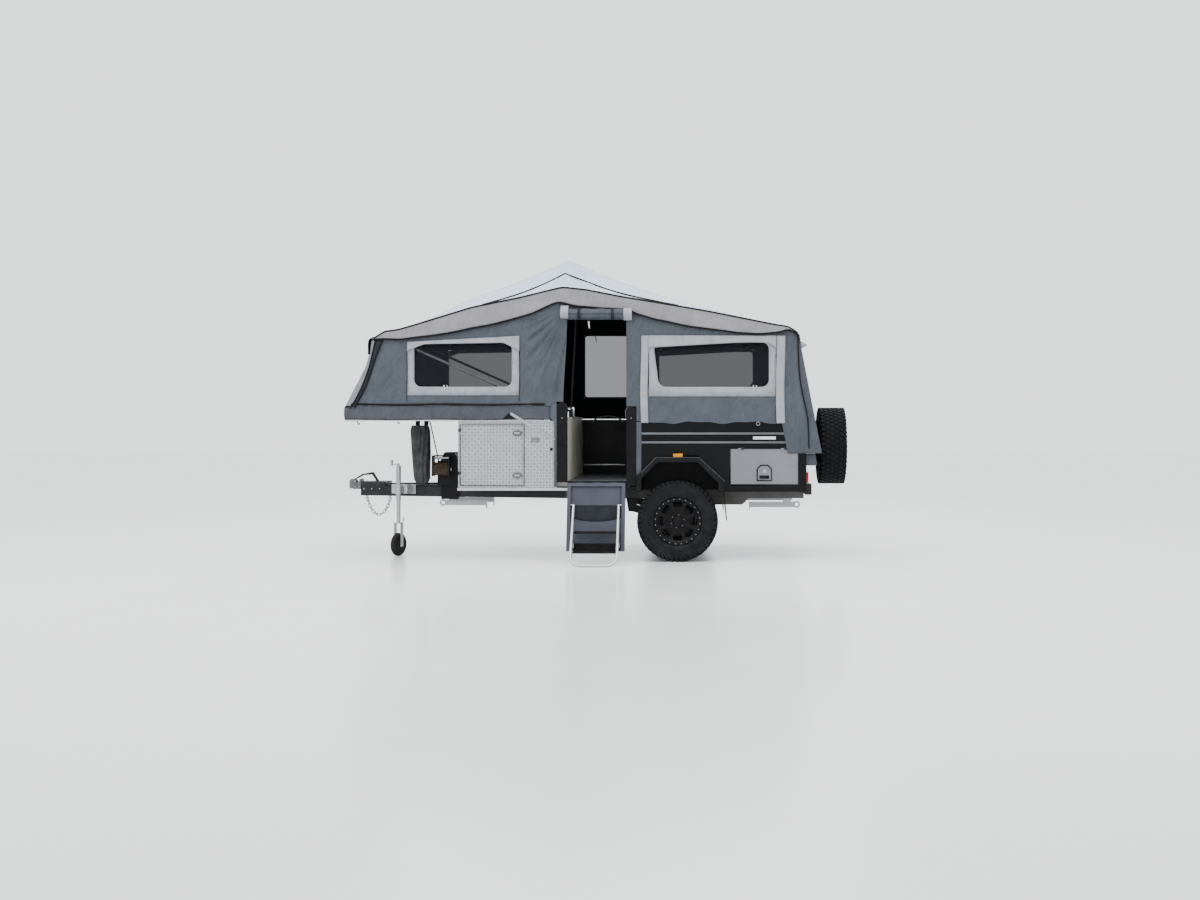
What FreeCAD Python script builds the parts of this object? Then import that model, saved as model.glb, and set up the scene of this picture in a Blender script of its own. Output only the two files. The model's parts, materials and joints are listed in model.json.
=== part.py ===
import FreeCAD, Part
import math
import os
from FreeCAD import Vector

# Soft-top camper trailer whose bed deck folds forward over the drawbar.
# It is parked on its road wheels and jockey wheel, with the tent up and the entry step down.
# X runs rearward, Y to the far side and Z up; the origin is the centre of the coupling's ball socket.
# Heights below are above the floor. Finished pieces are lowered by the height of the socket.
# Outlines in the side view are lists of (x, height).

# Whole trailer
ball_height = 690.0
half_width = 900.0
wall = 30.0
cloth = 6.0
soft_gap = 0.3
run_gap = 5.0
overrun = 25.0
bar_sides = 8
disc_sides = 16
bend_steps = 3

# Coupling and its lever
socket_radius = 25.2
socket_wall = 20.0
socket_below = 28.0
socket_above = 12.0
dome_steps = 4
dome_sides = 24
coupling_top = 760.0
shank_half = 35.0
shank_end = 92.0
lever_thick = 22.0
lever_bar = 14.0
lever_front = 10.0
lever_crown_x = 203.0
lever_crown_height = 830.0
lever_rear = 262.0

# Drawbar rails, chassis rails and cross members
rail_top = 692.0
rail_depth = 100.0
rail_width = 50.0
rail_start_x = 100.0
rail_start_y = 60.0
rail_end_x = 2234.0
chassis_outer = 580.0
chassis_width = 60.0
chassis_end_x = 4583.0
subframe_bottom = 530.0
subframe_front = 3010.0
subframe_rear = 4039.0
subframe_taper = 62.0
cross_width = 60.0
cross_depth = 60.0
cross_places = (0.012, 0.24, 0.47, 0.78, 0.985)
head_rear = 360.0
head_top = 735.0
conduit_width = 28.0
conduit_depth = 20.0
conduit_rear = 1225.0

# Safety chain
chain_wire = 8.0
chain_pitch = 36.0
chain_inner_width = 17.0
chain_start_x = 150.0
chain_end_x = 412.0
chain_side = 70.0
chain_curve = 66.0
chain_play = 0.3
chain_lug_drop = 12.0
chain_lug = 6.0
chain_lug_half = 12.0
chain_pin_radius = 5.0

# Jockey wheel
jockey_x = 530.0
jockey_pivot_x = 598.0
jockey_pivot_height = 665.0
jockey_stand_off = 132.0
jockey_plate_length = 262.0
jockey_plate_height = 96.0
jockey_plate = 9.0
jockey_plate_share = 0.66
jockey_boss_radius = 32.0
jockey_disc_radius = 44.0
jockey_disc = 12.0
jockey_arm_half = 36.0
jockey_tube_radius = 24.0
jockey_tube_wall = 3.0
jockey_tube_bottom = 556.0
jockey_tube_top = 905.0
jockey_collar = 10.0
jockey_rod_length = 350.0
jockey_fork_top = 333.0
jockey_fork_plate = 8.0
jockey_fork_half = 34.0
jockey_fork_width = 44.0
jockey_wheel_radius = 115.0
jockey_wheel_width = 52.0
jockey_core_share = 0.55
jockey_round_share = 0.45
jockey_recess_share = 0.8
jockey_turn = 68.0
jockey_sides = 32
jockey_axle_radius = 9.0
crank_reach = 74.0
crank_radius = 6.0
crank_grip_radius = 15.0
crank_grip_length = 58.0

# Winch on the drawbar, its strap and the bundled cover
winch_x = 1045.0
winch_side = 235.0
winch_half = 105.0
winch_bottom = 692.0
winch_drum_height = 862.0
winch_drum_radius = 78.0
winch_plate = 6.0
winch_plate_half = 92.0
winch_core_radius = 24.0
winch_cover_top = 1040.0
winch_cover_share = 0.55
winch_post_x = 955.0
winch_post_width = 30.0
strap_width = 45.0
strap_thick = 4.0
strap_top_x = 812.0
bundle_front = 625.0
bundle_rear = 840.0
bundle_top = 1310.0
bundle_bottom = 720.0
bundle_side = 210.0
bundle_half = 85.0
bundle_sides = 16
bundle_height_shares = (0, 0.08, 0.5, 0.92, 1)
bundle_width_shares = (0.55, 0.78, 0.92, 0.95, 0.80)
bundle_lean_shares = (0.10, 0.09, 0.03, -0.08, -0.09)
bundle_strap_shares = (-0.5, 0.3)

# Stabilisers, folded up
leg_section = 50.0
leg_front_x = 1000.0
leg_front_length = 400.0
leg_rear_x = 4480.0
leg_rear_length = 430.0
leg_drop = 62.0
leg_eye_radius = 34.0
leg_eye_hole = 17.0
leg_eye_thick = 16.0
leg_pad = 8.0
leg_pad_half = 60.0
leg_side = 40.0

# Toolbox in front of the aisle
toolbox_front = 1231.0
toolbox_rear = 2183.0
toolbox_top = 1356.0
toolbox_wall = 25.0
locker_front = 1258.0
locker_rear = 1866.0
locker_bottom = 732.0
locker_top = 1322.0
locker_hinge_shares = (0.13, 0.83)
locker_latch_shares = (0.17, 0.86)
locker_latch_inset = 64.0
hinge_radius = 7.0
hinge_out = 7.5
hinge_height = 60.0
latch_half_length = 46.0
latch_half_height = 28.0
latch_thick = 7.0
toolbox_lip = 8.0
toolbox_lip_height = 22.0
vent_x = 1972.0
vent_drop = 182.0
vent_half = 42.0
vent_thick = 6.0
vent_gap = 9.0
vent_slats = 3

# Aisle, door posts and entry door
aisle_front = 2280.0
aisle_rear = 2850.0
post_front_x = 2183.0
post_rear_x = 2943.0
post_front_top = 1535.0
post_rear_top = 1493.0
post_front_bottom = 767.0
post_rear_bottom = 732.0
post_out = 16.0
post_in = 60.0
floor_thick = 30.0
sill_height = 751.0
sill_depth = 46.0
aisle_floor_height = 775.0
cabinet_top = 1394.0
cabinet_wall = 18.0
door_lean = 12.0
door_length = 659.0
door_thick = 40.0
door_rim = 34.0
door_skin = 8.0
door_gap = 7.0
door_hinge_out = 6.0
door_hinge_height = 758.0
door_hinge_radius = 6.0
door_head_rim = 30.0
door_knuckles = 7
ladder_start = 216.0
ladder_radius = 12.5
ladder_reach = 1350.0
ladder_bend = 95.0
ladder_side = 62.0
tread_heights = (300.0, 125.0)
tread_depths = (104.0, 172.0)
tread_thick = 16.0
tread_pin_radius = 5.0

# Rear body
body_front = 2880.0
body_rear = 4583.0
body_bottom = 674.0
body_top = 1365.0
hatch_front = 3845.0
hatch_rear = 4509.0
hatch_bottom = 738.0
hatch_top = 1088.0
hatch_hinge_shares = (0.12, 0.74)
hatch_latch_drop = 57.0
hatch_latch_half = 68.0
hatch_latch_height = 73.0
moulding_drops = (130.0, 215.0)
moulding_height = 20.0
moulding_out = 6.0
bench_over_arch = 100.0
bench_depth = 470.0
bench_rear_depth = 520.0
bench_wall = 25.0
cushion_thick = 100.0
cushion_gap = 4.0

# Wheels, arches and suspension
axle_x = 3343.0
wheel_radius = 390.0
tyre_width = 265.0
tyre_outer = 930.0
rim_radius = 228.0
rim_bead = 14.0
rim_flange = 9.0
rim_dish = 34.0
rim_face = 22.0
rim_hub_radius = 78.0
rim_cap_radius = 46.0
rim_windows = 8
rim_window_inner = 108.0
rim_window_outer = 190.0
rim_window_share = 0.70
rim_window_taper_share = 0.16
rim_window_square_share = 0.62
rim_window_sides = 12
tyre_shoulder = 44.0
wheel_sides = 40
tyre_side_share = 0.60
tyre_wall_shares = (0.5, 0.25, 0.18, 0.42)
tyre_round_share = 0.28
hub_radius = 140.0
stub_radius = 28.0
stub_play = 0.4
arch_front = 2946.0
arch_rear = 3786.0
arch_foot = 680.0
arch_top = 1010.0
arch_top_front = 3130.0
arch_top_rear = 3556.0
arch_rear_shoulder = 780.0
flare_band = 50.0
flare_out = 45.0
flap_height = 760.0
flap_bottom = 400.0
flap_sweep = 26.0
flap_thick = 8.0
tub_depth = 300.0
tub_wall = 5.0
arm_pivot_x = 2890.0
arm_pivot_height = 500.0
arm_width = 80.0
arm_pivot_depth = 70.0
arm_axle_depth = 92.0
arm_bracket = 8.0
arm_bracket_reach = 56.0
damper_radius = 26.0
damper_rod_radius = 11.0
damper_foot_x = 3415.0
damper_foot_height = 418.0
damper_head_x = 3475.0
damper_head_height = 640.0
damper_rod_share = 0.35

# Lamps and small fittings
marker_x = 3346.0
marker_half = 45.0
marker_rise = 32.0
marker_out = 30.0
bar_lamp_front = 4068.0
bar_lamp_rear = 4288.0
bar_lamp_half_height = 14.0
bar_lamp_out = 12.0
tail_lamp_bottom = 770.0
tail_lamp_top = 862.0
tail_lamp_width = 190.0
tail_lamp_out = 22.0
tail_lamp_inset = 20.0
bumper_bottom = 640.0
bumper_top = 745.0
bumper_out = 58.0
bumper_half = 815.0

# Spare wheel and its carrier
spare_height = 1100.0
spare_rear = 5037.0
carrier_post = 70.0
carrier_plate_radius = 95.0
carrier_plate = 12.0

# Bed deck and the tent over it
deck_front = 142.0
deck_rear = 2118.0
deck_top = 1440.0
deck_rib = 40.0
deck_bays = 3
skirt_bottom = 1365.0
skirt_top = 1490.0
mattress_thick = 130.0
mattress_inset = 60.0
brace_top_x = 1745.0
brace_top_height = 1424.0
brace_foot_x = 2150.0
brace_foot_height = 1180.0
brace_half = 13.0
brace_thick = 8.0
brace_pin_radius = 7.0
tent_side_bottom = 1340.0
tent_rear_foot = 4680.0
roof_front = 400.0
roof_rear = 4510.0
roof_low = 2149.0
roof_high = 2642.0
roof_peak = 3009.0
roof_station_shares = (0.0, 0.208, 0.442, 0.697, 0.978, 1.0)
roof_edge_shares = (0.0, 0.533, 1.0, 0.657, 0.225, 0.085)
roof_ridge_shares = (0.036, 0.554, 1.0, 0.55, 0.175, 0.077)
valance_station_shares = (0.0, 0.070, 0.178, 0.285, 0.426, 0.442, 0.481, 0.603, 0.664, 0.75, 0.904, 0.979)
valance_height_shares = (-0.014, -0.022, 0.097, 0.276, 0.68, 0.708, 0.623, 0.568, 0.369, 0.225, 0.085, 0.191)
roof_thick = 10.0
roof_steps = 4
roof_out = 10.0
tent_door_top = 2325.0
window_front_left = 822.0
window_front_right = 1812.0
window_front_bottom = 1643.0
window_front_top = 2117.0
window_rear_left = 3117.0
window_rear_right = 4231.0
window_rear_bottom = 1672.0
window_rear_top = 2105.0
window_far_left = 2306.0
window_far_right = 2765.0
window_far_bottom = 1613.0
window_far_top = 2279.0
window_corner = 60.0
drape_bottom = 1048.0
drape_front = 4404.0
drape_side = 300.0
bow_radius = 12.5
bow_inset = 22.0
bow_spacing = 32.0
bow_foot_height = 1452.0
bow_foot_x = 2156.0
bow_bracket = 50.0
bow_front_x = 560.0
bow_rear_foot_x = 4430.0
bow_rear_x = 4380.0
bow_bend = 90.0
bow_clear = 14.0


# Helpers

def box(x0, x1, y0, y1, z0, z1):
    """Box between two corners, given as pairs along each axis."""
    return Part.makeBox(x1 - x0, y1 - y0, z1 - z0, Vector(x0, y0, z0))


def prism(points, move):
    """Closed outline of points, extruded along a vector."""
    wire = Part.makePolygon(list(points) + [points[0]])
    return Part.Face(wire).extrude(move)


def side_prism(outline, y0, y1):
    """Outline of (x, height) pairs, extruded from y0 to y1."""
    return prism([Vector(x, y0, z) for x, z in outline], Vector(0, y1 - y0, 0))


def plan_prism(outline, z0, z1):
    """Outline of (x, y) pairs, extruded from z0 to z1."""
    return prism([Vector(x, y, z0) for x, y in outline], Vector(0, 0, z1 - z0))


def rod(start, end, radius):
    """Round bar from one point to another."""
    line = end - start
    return Part.makeCylinder(radius, line.Length, start, line)


def skinned(rings, closed=False):
    """Solid covered with flat faces between outlines that have equal counts of points."""
    faces = []
    for ring, after in zip(rings, rings[1:] + (rings[:1] if closed else [])):
        for a, b, c, d in zip(ring, ring[1:] + ring[:1], after[1:] + after[:1], after):
            split = ((a, b, c), (a, c, d)) if (c - a).Length < (d - b).Length else ((a, b, d), (b, c, d))
            for corners in split:
                if min((p - q).Length for p, q in zip(corners, corners[1:] + corners[:1])) > soft_gap / 10:
                    faces.append(Part.Face(Part.makePolygon([*corners, corners[0]])))
    if not closed:
        faces += [Part.Face(Part.makePolygon(ring + [ring[0]])) for ring in (rings[0], rings[-1])]
    solid = Part.Solid(Part.Shell(faces)).removeSplitter()
    if solid.Volume < 0:
        solid.reverse()
    return solid


def ring_around(centre, way, radius, start, sides):
    """Corners of a regular outline across a direction, its flats at a radius and one of them to start."""
    side = way.cross(start)
    corner = radius / math.cos(math.pi / sides)
    turns = [math.pi * (2 * number + 1) / sides for number in range(sides)]
    return [centre + start * (corner * math.cos(turn)) + side * (corner * math.sin(turn))
            for turn in turns]


def oval(middle, half_length, half_height):
    """Many-sided oval of (x, height) pairs about a middle."""
    turns = [2 * math.pi * number / disc_sides for number in range(disc_sides)]
    return [(middle[0] + half_length * math.cos(turn), middle[1] + half_height * math.sin(turn))
            for turn in turns]


def disc(radius, thick, centre, way):
    """Many-sided disc that starts at a centre and is thick along a direction across up."""
    ring = ring_around(centre, way, radius, Vector(0, 0, 1), disc_sides)
    return prism(ring, way * thick)


def faceted_bar(points, radius, start, closed=False):
    """Many-sided bar along a bent line, mitred at its corners; start points across the first run."""
    ways = [(b - a).normalize() for a, b in zip(points, points[1:] + points[:1])]
    if not closed:
        ways[-1] = ways[-2]
    before = ways[-1] if closed else ways[0]
    ring = ring_around(points[0], before, radius, start, bar_sides)
    rings = []
    for point, way in zip(points, ways):
        mitre = before + way
        ring = [corner + before * ((point - corner).dot(mitre) / before.dot(mitre)) for corner in ring]
        rings.append(ring)
        before = way
    return skinned(rings, closed)


def bent_tube(points, radius, bend):
    """Many-sided tube along straight runs joined by tangent arcs of one radius."""
    line = [points[0]]
    for before, corner, after in zip(points, points[1:], points[2:]):
        back = (before - corner).normalize()
        ahead = (after - corner).normalize()
        half = back.getAngle(ahead) / 2
        hub = corner + (back + ahead).normalize() * (bend / math.sin(half))
        first = corner + back * (bend / math.tan(half)) - hub
        sweep = math.pi - half * 2
        for number in range(bend_steps + 1):
            turn = sweep * number / bend_steps
            line.append(hub + first * math.cos(turn) - back * (bend * math.sin(turn)))
    line.append(points[-1])
    way = (points[1] - points[0]).normalize()
    across = (points[2] - points[1]).cross(way).normalize()
    return faceted_bar(line, radius, across)


def fuse(shapes):
    """One shape from several that touch or overlap."""
    joined = shapes[0].fuse(shapes[1:]) if len(shapes) > 1 else shapes[0]
    return joined.removeSplitter()


def group(shapes):
    """Separate solids kept together in one node."""
    return Part.makeCompound(shapes)


def far_side(shape):
    """The same piece mirrored to the far side."""
    return shape.mirror(Vector(0, 0, 0), Vector(0, 1, 0))


def both_sides(shape):
    """A near piece with its mirrored twin."""
    return group([shape, far_side(shape)])


def save(name, shape):
    """Lower the finished piece to the socket's frame and write it."""
    placed = shape.copy()
    placed.translate(Vector(0, 0, -ball_height))
    placed.exportStep(os.path.join("parts", name + ".step"))


# Drawbar rails run outward from the head to the chassis rails
chassis_line = chassis_outer - chassis_width / 2
rail_angle = math.atan2(chassis_line - rail_start_y, rail_end_x - rail_start_x)
rail_half_plan = rail_width / 2 / math.cos(rail_angle)
rail_bottom = rail_top - rail_depth
deck_bottom = toolbox_top
tent_side = half_width + soft_gap + cloth
bench_height = arch_top + bench_over_arch
moulding_heights = [body_top - drop for drop in moulding_drops]
bar_lamp_height = sum(moulding_heights) / len(moulding_heights)
vent_height = toolbox_top - vent_drop


def between(low, high, shares):
    """Values at shares of the way from one value to another."""
    return [low + (high - low) * share for share in shares]


roof_stations = between(roof_front, roof_rear, roof_station_shares)
roof_edges = between(roof_low, roof_high, roof_edge_shares)
roof_ridges = between(roof_low, roof_peak, roof_ridge_shares)
valance_line = list(zip(between(roof_front, roof_rear, valance_station_shares),
                        between(roof_low, roof_high, valance_height_shares)))


def rail_line(x):
    """Distance of a drawbar rail's centre line from the middle at x."""
    return rail_start_y + (x - rail_start_x) * math.tan(rail_angle)


def near_rail_point(x, out, height):
    """Point over the near rail at x, a distance out from its outer face."""
    reach = rail_width / 2 + out
    along = x - rail_start_x + reach * math.sin(rail_angle)
    centre = rail_start_y + along * math.tan(rail_angle)
    return Vector(x, -centre - reach * math.cos(rail_angle), height)


rail_way = Vector(math.cos(rail_angle), -math.sin(rail_angle), 0)
rail_out = Vector(-math.sin(rail_angle), -math.cos(rail_angle), 0)
up = Vector(0, 0, 1)


def rail_strip(x0, x1, inner, outer, z0, z1):
    """Strip that follows the near rail, between two distances from its centre line."""
    slant = 1 / math.cos(rail_angle)
    corners = [(x0, -rail_line(x0) - inner * slant), (x0, -rail_line(x0) - outer * slant),
               (x1, -rail_line(x1) - outer * slant), (x1, -rail_line(x1) - inner * slant)]
    return plan_prism(corners, z0, z1)


def make_drawbar():
    half = rail_width / 2
    near = rail_strip(rail_start_x, rail_end_x, -half, half, rail_bottom, rail_top)
    front = rail_start_y + rail_half_plan
    rear = rail_line(head_rear) + rail_half_plan
    cover = plan_prism([(shank_end, -front), (head_rear, -rear), (head_rear, rear), (shank_end, front)],
                       rail_top, head_top)
    nose = box(shank_end, rail_start_x, -front, front, rail_bottom, rail_top)
    save("drawbar_head", fuse([cover, nose]))
    conduit = rail_strip(head_rear, conduit_rear, -conduit_width / 2, conduit_width / 2,
                         rail_top, rail_top + conduit_depth)
    save("drawbar_rails", both_sides(fuse([near, conduit])))


def make_chassis():
    outer = -chassis_outer
    inner = outer + chassis_width
    near = box(rail_end_x, chassis_end_x, outer, inner, rail_bottom, rail_top)
    stiffener = side_prism([(subframe_front, rail_bottom),
                            (subframe_front + subframe_taper, subframe_bottom),
                            (subframe_rear - subframe_taper, subframe_bottom), (subframe_rear, rail_bottom)],
                           outer, inner)
    save("chassis_rails", both_sides(fuse([near, stiffener])))
    bars = []
    length = chassis_end_x - rail_end_x
    for share in cross_places:
        middle = rail_end_x + length * share
        low = max(rail_end_x, min(middle - cross_width / 2, chassis_end_x - cross_width))
        bars.append(box(low, low + cross_width, inner, -inner, rail_top - cross_depth, rail_top))
    save("cross_members", group(bars))


def make_coupling():
    top = ball_height + socket_above
    bottom = ball_height - socket_below
    outer = socket_radius + socket_wall
    cup = Part.makeCylinder(outer, coupling_top - socket_wall - bottom, Vector(0, 0, bottom))
    crown = Part.makeCone(outer, outer - socket_wall, socket_wall, Vector(0, 0, coupling_top - socket_wall))
    shank = box(0, shank_end, -shank_half, shank_half, ball_height - shank_half, ball_height + shank_half)
    flange_half = rail_start_y
    flange = box(shank_end - socket_wall, shank_end, -flange_half, flange_half, bottom, coupling_top)
    bore = Part.makeCylinder(socket_radius, top - bottom + overrun, Vector(0, 0, bottom - overrun))
    turns = [math.pi / 2 * number / dome_steps for number in range(dome_steps)]
    quarter = [(socket_radius * math.cos(turn), socket_radius * math.sin(turn)) for turn in turns]
    dome = turned([(0, -overrun)] + [(socket_radius, -overrun)] + quarter + [(0, socket_radius)],
                  Vector(0, 0, top), up, Vector(1, 0, 0), dome_sides)
    save("coupling", fuse([cup, crown, shank, flange]).cut(fuse([bore, dome])))


def make_lever():
    half = lever_thick / 2
    front = Vector(lever_front, -half, coupling_top)
    crown = Vector(lever_crown_x, -half, lever_crown_height)
    rear = Vector(lever_rear, -half, head_top)
    arch_share = 0.42
    rise_share = 0.72
    lift = lever_crown_height - coupling_top
    knee_x = lever_front + (lever_crown_x - lever_front) * arch_share
    knee = Vector(knee_x, -half, coupling_top + lift * rise_share)
    step = Vector(lever_bar, 0, 0)
    down = Vector(0, 0, -lever_bar)
    outline = [front, knee, crown, rear, rear - step * 2, crown + down * 2 - step, knee + down + step,
               front + step * 2]
    save("brake_lever", prism(outline, Vector(0, lever_thick, 0)))


def chain_link(middle, way, side):
    """Link of many-sided wire lying along a direction, with its hole facing side."""
    across = side.cross(way).normalize()
    bend = (chain_inner_width + chain_wire) / 2
    corner = bend / math.cos(math.pi / 8)
    straight = chain_apex() - bend
    points = []
    for number in range(8):
        turn = math.pi * (2 * number + 1) / 8
        shift = straight if number < 4 else -straight
        points.append(middle + way * (corner * math.sin(turn) + shift) + across * (corner * math.cos(turn)))
    return faceted_bar(points, chain_wire / 2, side, True)


def chain_apex():
    """Distance from a link's middle to the centre of the wire at its end."""
    return (chain_pitch + chain_wire) / 2


def make_chain():
    """Hanging loop of links on a catenary, each resting in the next, pinned to two lugs under a rail."""
    start = Vector(chain_start_x, -chain_side, rail_bottom)
    end = Vector(chain_end_x, -rail_line(chain_end_x), rail_bottom)
    middle = (start + end) / 2
    across = (end - start).normalize()
    sideways = up.cross(across)
    top = chain_curve * math.cosh((end - start).Length / 2 / chain_curve)

    def place(along):
        height = math.hypot(chain_curve, along) - top
        return middle + across * (chain_curve * math.asinh(along / chain_curve)) + up * height

    def direction(along):
        return (across * chain_curve + up * along).normalize()

    def overlap(first, second):
        ways = direction(first) + direction(second)
        apart = place(second) - place(first) - ways * chain_apex()
        return -apart.dot(ways) / ways.Length

    stations = [0]
    while place(stations[-1]).z + chain_pitch + chain_lug_drop < rail_bottom:
        low, high = stations[-1], stations[-1] + chain_pitch * 2
        while high - low > chain_play:
            guess = (low + high) / 2
            if overlap(stations[-1], guess) > chain_wire + chain_play * 2:
                low = guess
            else:
                high = guess
        stations.append(low)
    stations = [-along for along in stations[:0:-1]] + stations
    links = []
    for number, along in enumerate(stations):
        way = direction(along)
        side = sideways.cross(way) if number % 2 else sideways
        links.append(chain_link(place(along), way, side))
    lugs = []
    cheek = chain_wire / 2 + run_gap / 2
    for along, outward in ((stations[0], -1), (stations[-1], 1)):
        reach = chain_pitch / 2 - chain_pin_radius - chain_play * 2
        pin = place(along) + direction(along) * (outward * reach)
        root = pin - sideways * (cheek + chain_lug)
        half = across * chain_lug_half
        low = Vector(root.x, root.y, pin.z - chain_lug_half)
        rise = up * (rail_bottom - low.z)
        plate = prism([low - half, low + half, low + half + rise, low - half + rise], sideways * chain_lug)
        lugs.append(fuse([rod(root, pin + sideways * cheek, chain_pin_radius), plate]))
    save("safety_chain", group(links + lugs))


def make_jockey():
    tube_middle = near_rail_point(jockey_x, jockey_stand_off, 0)
    pivot = near_rail_point(jockey_pivot_x, 0, jockey_pivot_height)
    plate_front = pivot - rail_way * (jockey_plate_length * jockey_plate_share)
    low = jockey_pivot_height - jockey_plate_height / 2
    corner = Vector(plate_front.x, plate_front.y, low)
    plate = prism([corner, corner + rail_way * jockey_plate_length,
                   corner + rail_way * jockey_plate_length + up * jockey_plate_height,
                   corner + up * jockey_plate_height], rail_out * jockey_plate)
    disc_start = jockey_stand_off - jockey_tube_radius - jockey_collar - jockey_disc
    boss = Part.makeCylinder(jockey_boss_radius, disc_start - soft_gap, pivot, rail_out)
    save("jockey_clamp", fuse([plate, boss]))

    swivel = Part.makeCylinder(jockey_disc_radius, jockey_disc + jockey_collar / 2,
                               pivot + rail_out * disc_start, rail_out)
    hole_radius = jockey_tube_radius - jockey_tube_wall
    tube_base = tube_middle + up * jockey_tube_bottom
    tube_length = jockey_tube_top - jockey_tube_bottom
    tube = Part.makeCylinder(jockey_tube_radius, tube_length, tube_base)
    collar_low = tube_middle + up * (jockey_pivot_height - jockey_disc_radius)
    collar = Part.makeCylinder(jockey_tube_radius + jockey_collar, jockey_disc_radius * 2, collar_low)
    link_start = tube_middle - rail_out * (jockey_tube_radius + jockey_collar + jockey_disc)
    link_end = pivot + rail_out * disc_start
    reach = (Vector(link_end.x, link_end.y, 0) - link_start).dot(rail_way)
    low_corner = link_start + up * (jockey_pivot_height - jockey_arm_half)
    high_corner = low_corner + up * (jockey_arm_half * 2)
    arm = prism([low_corner, low_corner + rail_way * reach, high_corner + rail_way * reach, high_corner],
                rail_out * (jockey_disc + jockey_collar + jockey_tube_radius / 2))
    hole_length = tube_length - jockey_tube_wall + overrun
    hollow = Part.makeCylinder(hole_radius, hole_length, tube_base - up * overrun)
    hub = tube_middle + up * jockey_tube_top
    turn = rail_way * -crank_reach
    arm_height = up * (crank_radius * 2)
    crank = fuse([Part.makeCylinder(crank_radius * 2, crank_radius * 5, hub - up * crank_radius),
                  rod(hub + arm_height, hub + arm_height + turn, crank_radius)])
    grip = Part.makeCylinder(crank_grip_radius, crank_grip_length, hub + turn)
    save("jockey_tube", fuse([swivel, tube, collar, arm, crank, grip]).cut(hollow))

    inner = Part.makeCylinder(hole_radius - soft_gap, jockey_rod_length, tube_middle + up * jockey_fork_top)
    save("jockey_inner_tube", inner)

    castor = math.radians(jockey_turn)
    axle_way = Vector(math.sin(castor), -math.cos(castor), 0)
    ahead = up.cross(axle_way)
    centre = tube_middle + up * jockey_wheel_radius
    crown_height = jockey_fork_top - jockey_fork_plate - soft_gap

    def fork_box(a0, a1, b0, b1, z0, z1):
        corners = [tube_middle + axle_way * a + ahead * b + up * z0 for a, b in
                   ((a0, b0), (a1, b0), (a1, b1), (a0, b1))]
        return prism(corners, up * (z1 - z0))

    wide = jockey_fork_half + jockey_fork_plate
    deep = jockey_fork_width / 2
    crown = fork_box(-wide, wide, -deep, deep, crown_height, crown_height + jockey_fork_plate)
    cheeks = [fork_box(a, a + jockey_fork_plate, -deep, deep, jockey_wheel_radius - deep, crown_height)
              for a in (-wide, jockey_fork_half)]
    axle = Part.makeCylinder(jockey_axle_radius, wide * 2, centre - axle_way * wide, axle_way)
    handle_start = tube_middle + axle_way * wide + up * (crown_height - deep)
    handle = rod(handle_start, handle_start + axle_way * deep + up * (jockey_fork_width * 2), crank_radius)
    save("jockey_fork", fuse([crown, axle, handle] + cheeks))

    half = jockey_wheel_width / 2
    radius = jockey_wheel_radius
    core = radius * jockey_core_share
    round_off = half * jockey_round_share
    face = half * jockey_recess_share
    side = [(jockey_axle_radius + soft_gap, half), (core, half), (core, face), (radius - round_off, half),
            (radius, half - round_off)]
    profile = [(r, -a) for r, a in side] + side[::-1]
    save("jockey_wheel", turned(profile, centre, axle_way, up * -1, jockey_sides))


def make_winch():
    inner = -winch_side + winch_half
    outer = -winch_side - winch_half
    half = winch_plate_half
    top = winch_drum_height + half
    base = box(winch_x - half, winch_x + half, outer, inner, winch_bottom + conduit_depth,
               winch_bottom + conduit_depth + winch_plate)
    cheeks = [box(winch_x - half, winch_x + half, side, side + winch_plate,
                  winch_bottom + conduit_depth, top) for side in (outer, inner - winch_plate)]
    post = box(winch_post_x - winch_post_width, winch_post_x, outer, outer + winch_post_width,
               winch_bottom + conduit_depth, top)
    hanger = rail_strip(winch_x - half, winch_x + half, rail_width / 2, rail_width / 2 + winch_plate * 2,
                        rail_bottom - winch_plate * 4, winch_bottom + conduit_depth)
    way = Vector(0, 1, 0)
    core = disc(winch_core_radius, inner - outer - winch_plate * 2,
                Vector(winch_x, outer + winch_plate, winch_drum_height), way)
    drum_start = outer + winch_plate + soft_gap + winch_plate
    drum = disc(winch_drum_radius, inner - winch_plate * 2 - soft_gap - drum_start,
                Vector(winch_x, drum_start, winch_drum_height), way)
    save("winch_drum", fuse([core, drum]))
    shoulder = half * winch_cover_share
    cover = side_prism([(winch_x - half, top), (winch_x - shoulder, winch_cover_top),
                        (winch_x + shoulder, winch_cover_top), (winch_x + half, top)], outer, inner)
    save("winch_frame", fuse([base, post, hanger, cover] + cheeks))
    start = Vector(winch_post_x - winch_post_width, 0, top - winch_post_width)
    end = Vector(strap_top_x, 0, deck_top)
    lean = (end - start).normalize()
    thick = Vector(lean.z, 0, -lean.x) * strap_thick
    outline = [start - thick, end - thick, end, start]
    low = -winch_side - strap_width / 2
    strap = side_prism([(p.x, p.z) for p in outline], low, low + strap_width)
    keep = box(strap_top_x - half_width, winch_post_x - winch_post_width, -half_width, 0, 0,
               deck_top - deck_rib)
    return strap.common(keep)


def make_bundle():
    """Rolled cover hung under the deck, closed at both ends."""
    sections = []
    height = bundle_top - bundle_bottom
    middle = (bundle_front + bundle_rear) / 2
    half = (bundle_rear - bundle_front) / 2
    for share, wide, lean in zip(bundle_height_shares, bundle_width_shares, bundle_lean_shares):
        centre = Vector(middle + half * lean, -bundle_side, bundle_bottom + height * share)
        turns = [2 * math.pi * number / bundle_sides for number in range(bundle_sides)]
        across = half * wide
        deep = bundle_half * wide
        sections.append([centre + Vector(across * math.cos(turn), deep * math.sin(turn), 0)
                         for turn in turns])
    save("cover_bundle", skinned(sections))
    straps = []
    for share in bundle_strap_shares:
        x = middle + half * share
        straps.append(box(x, x + strap_width, -bundle_side - strap_thick, -bundle_side + strap_thick,
                          bundle_top + soft_gap, deck_top - deck_rib))
    return straps


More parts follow.
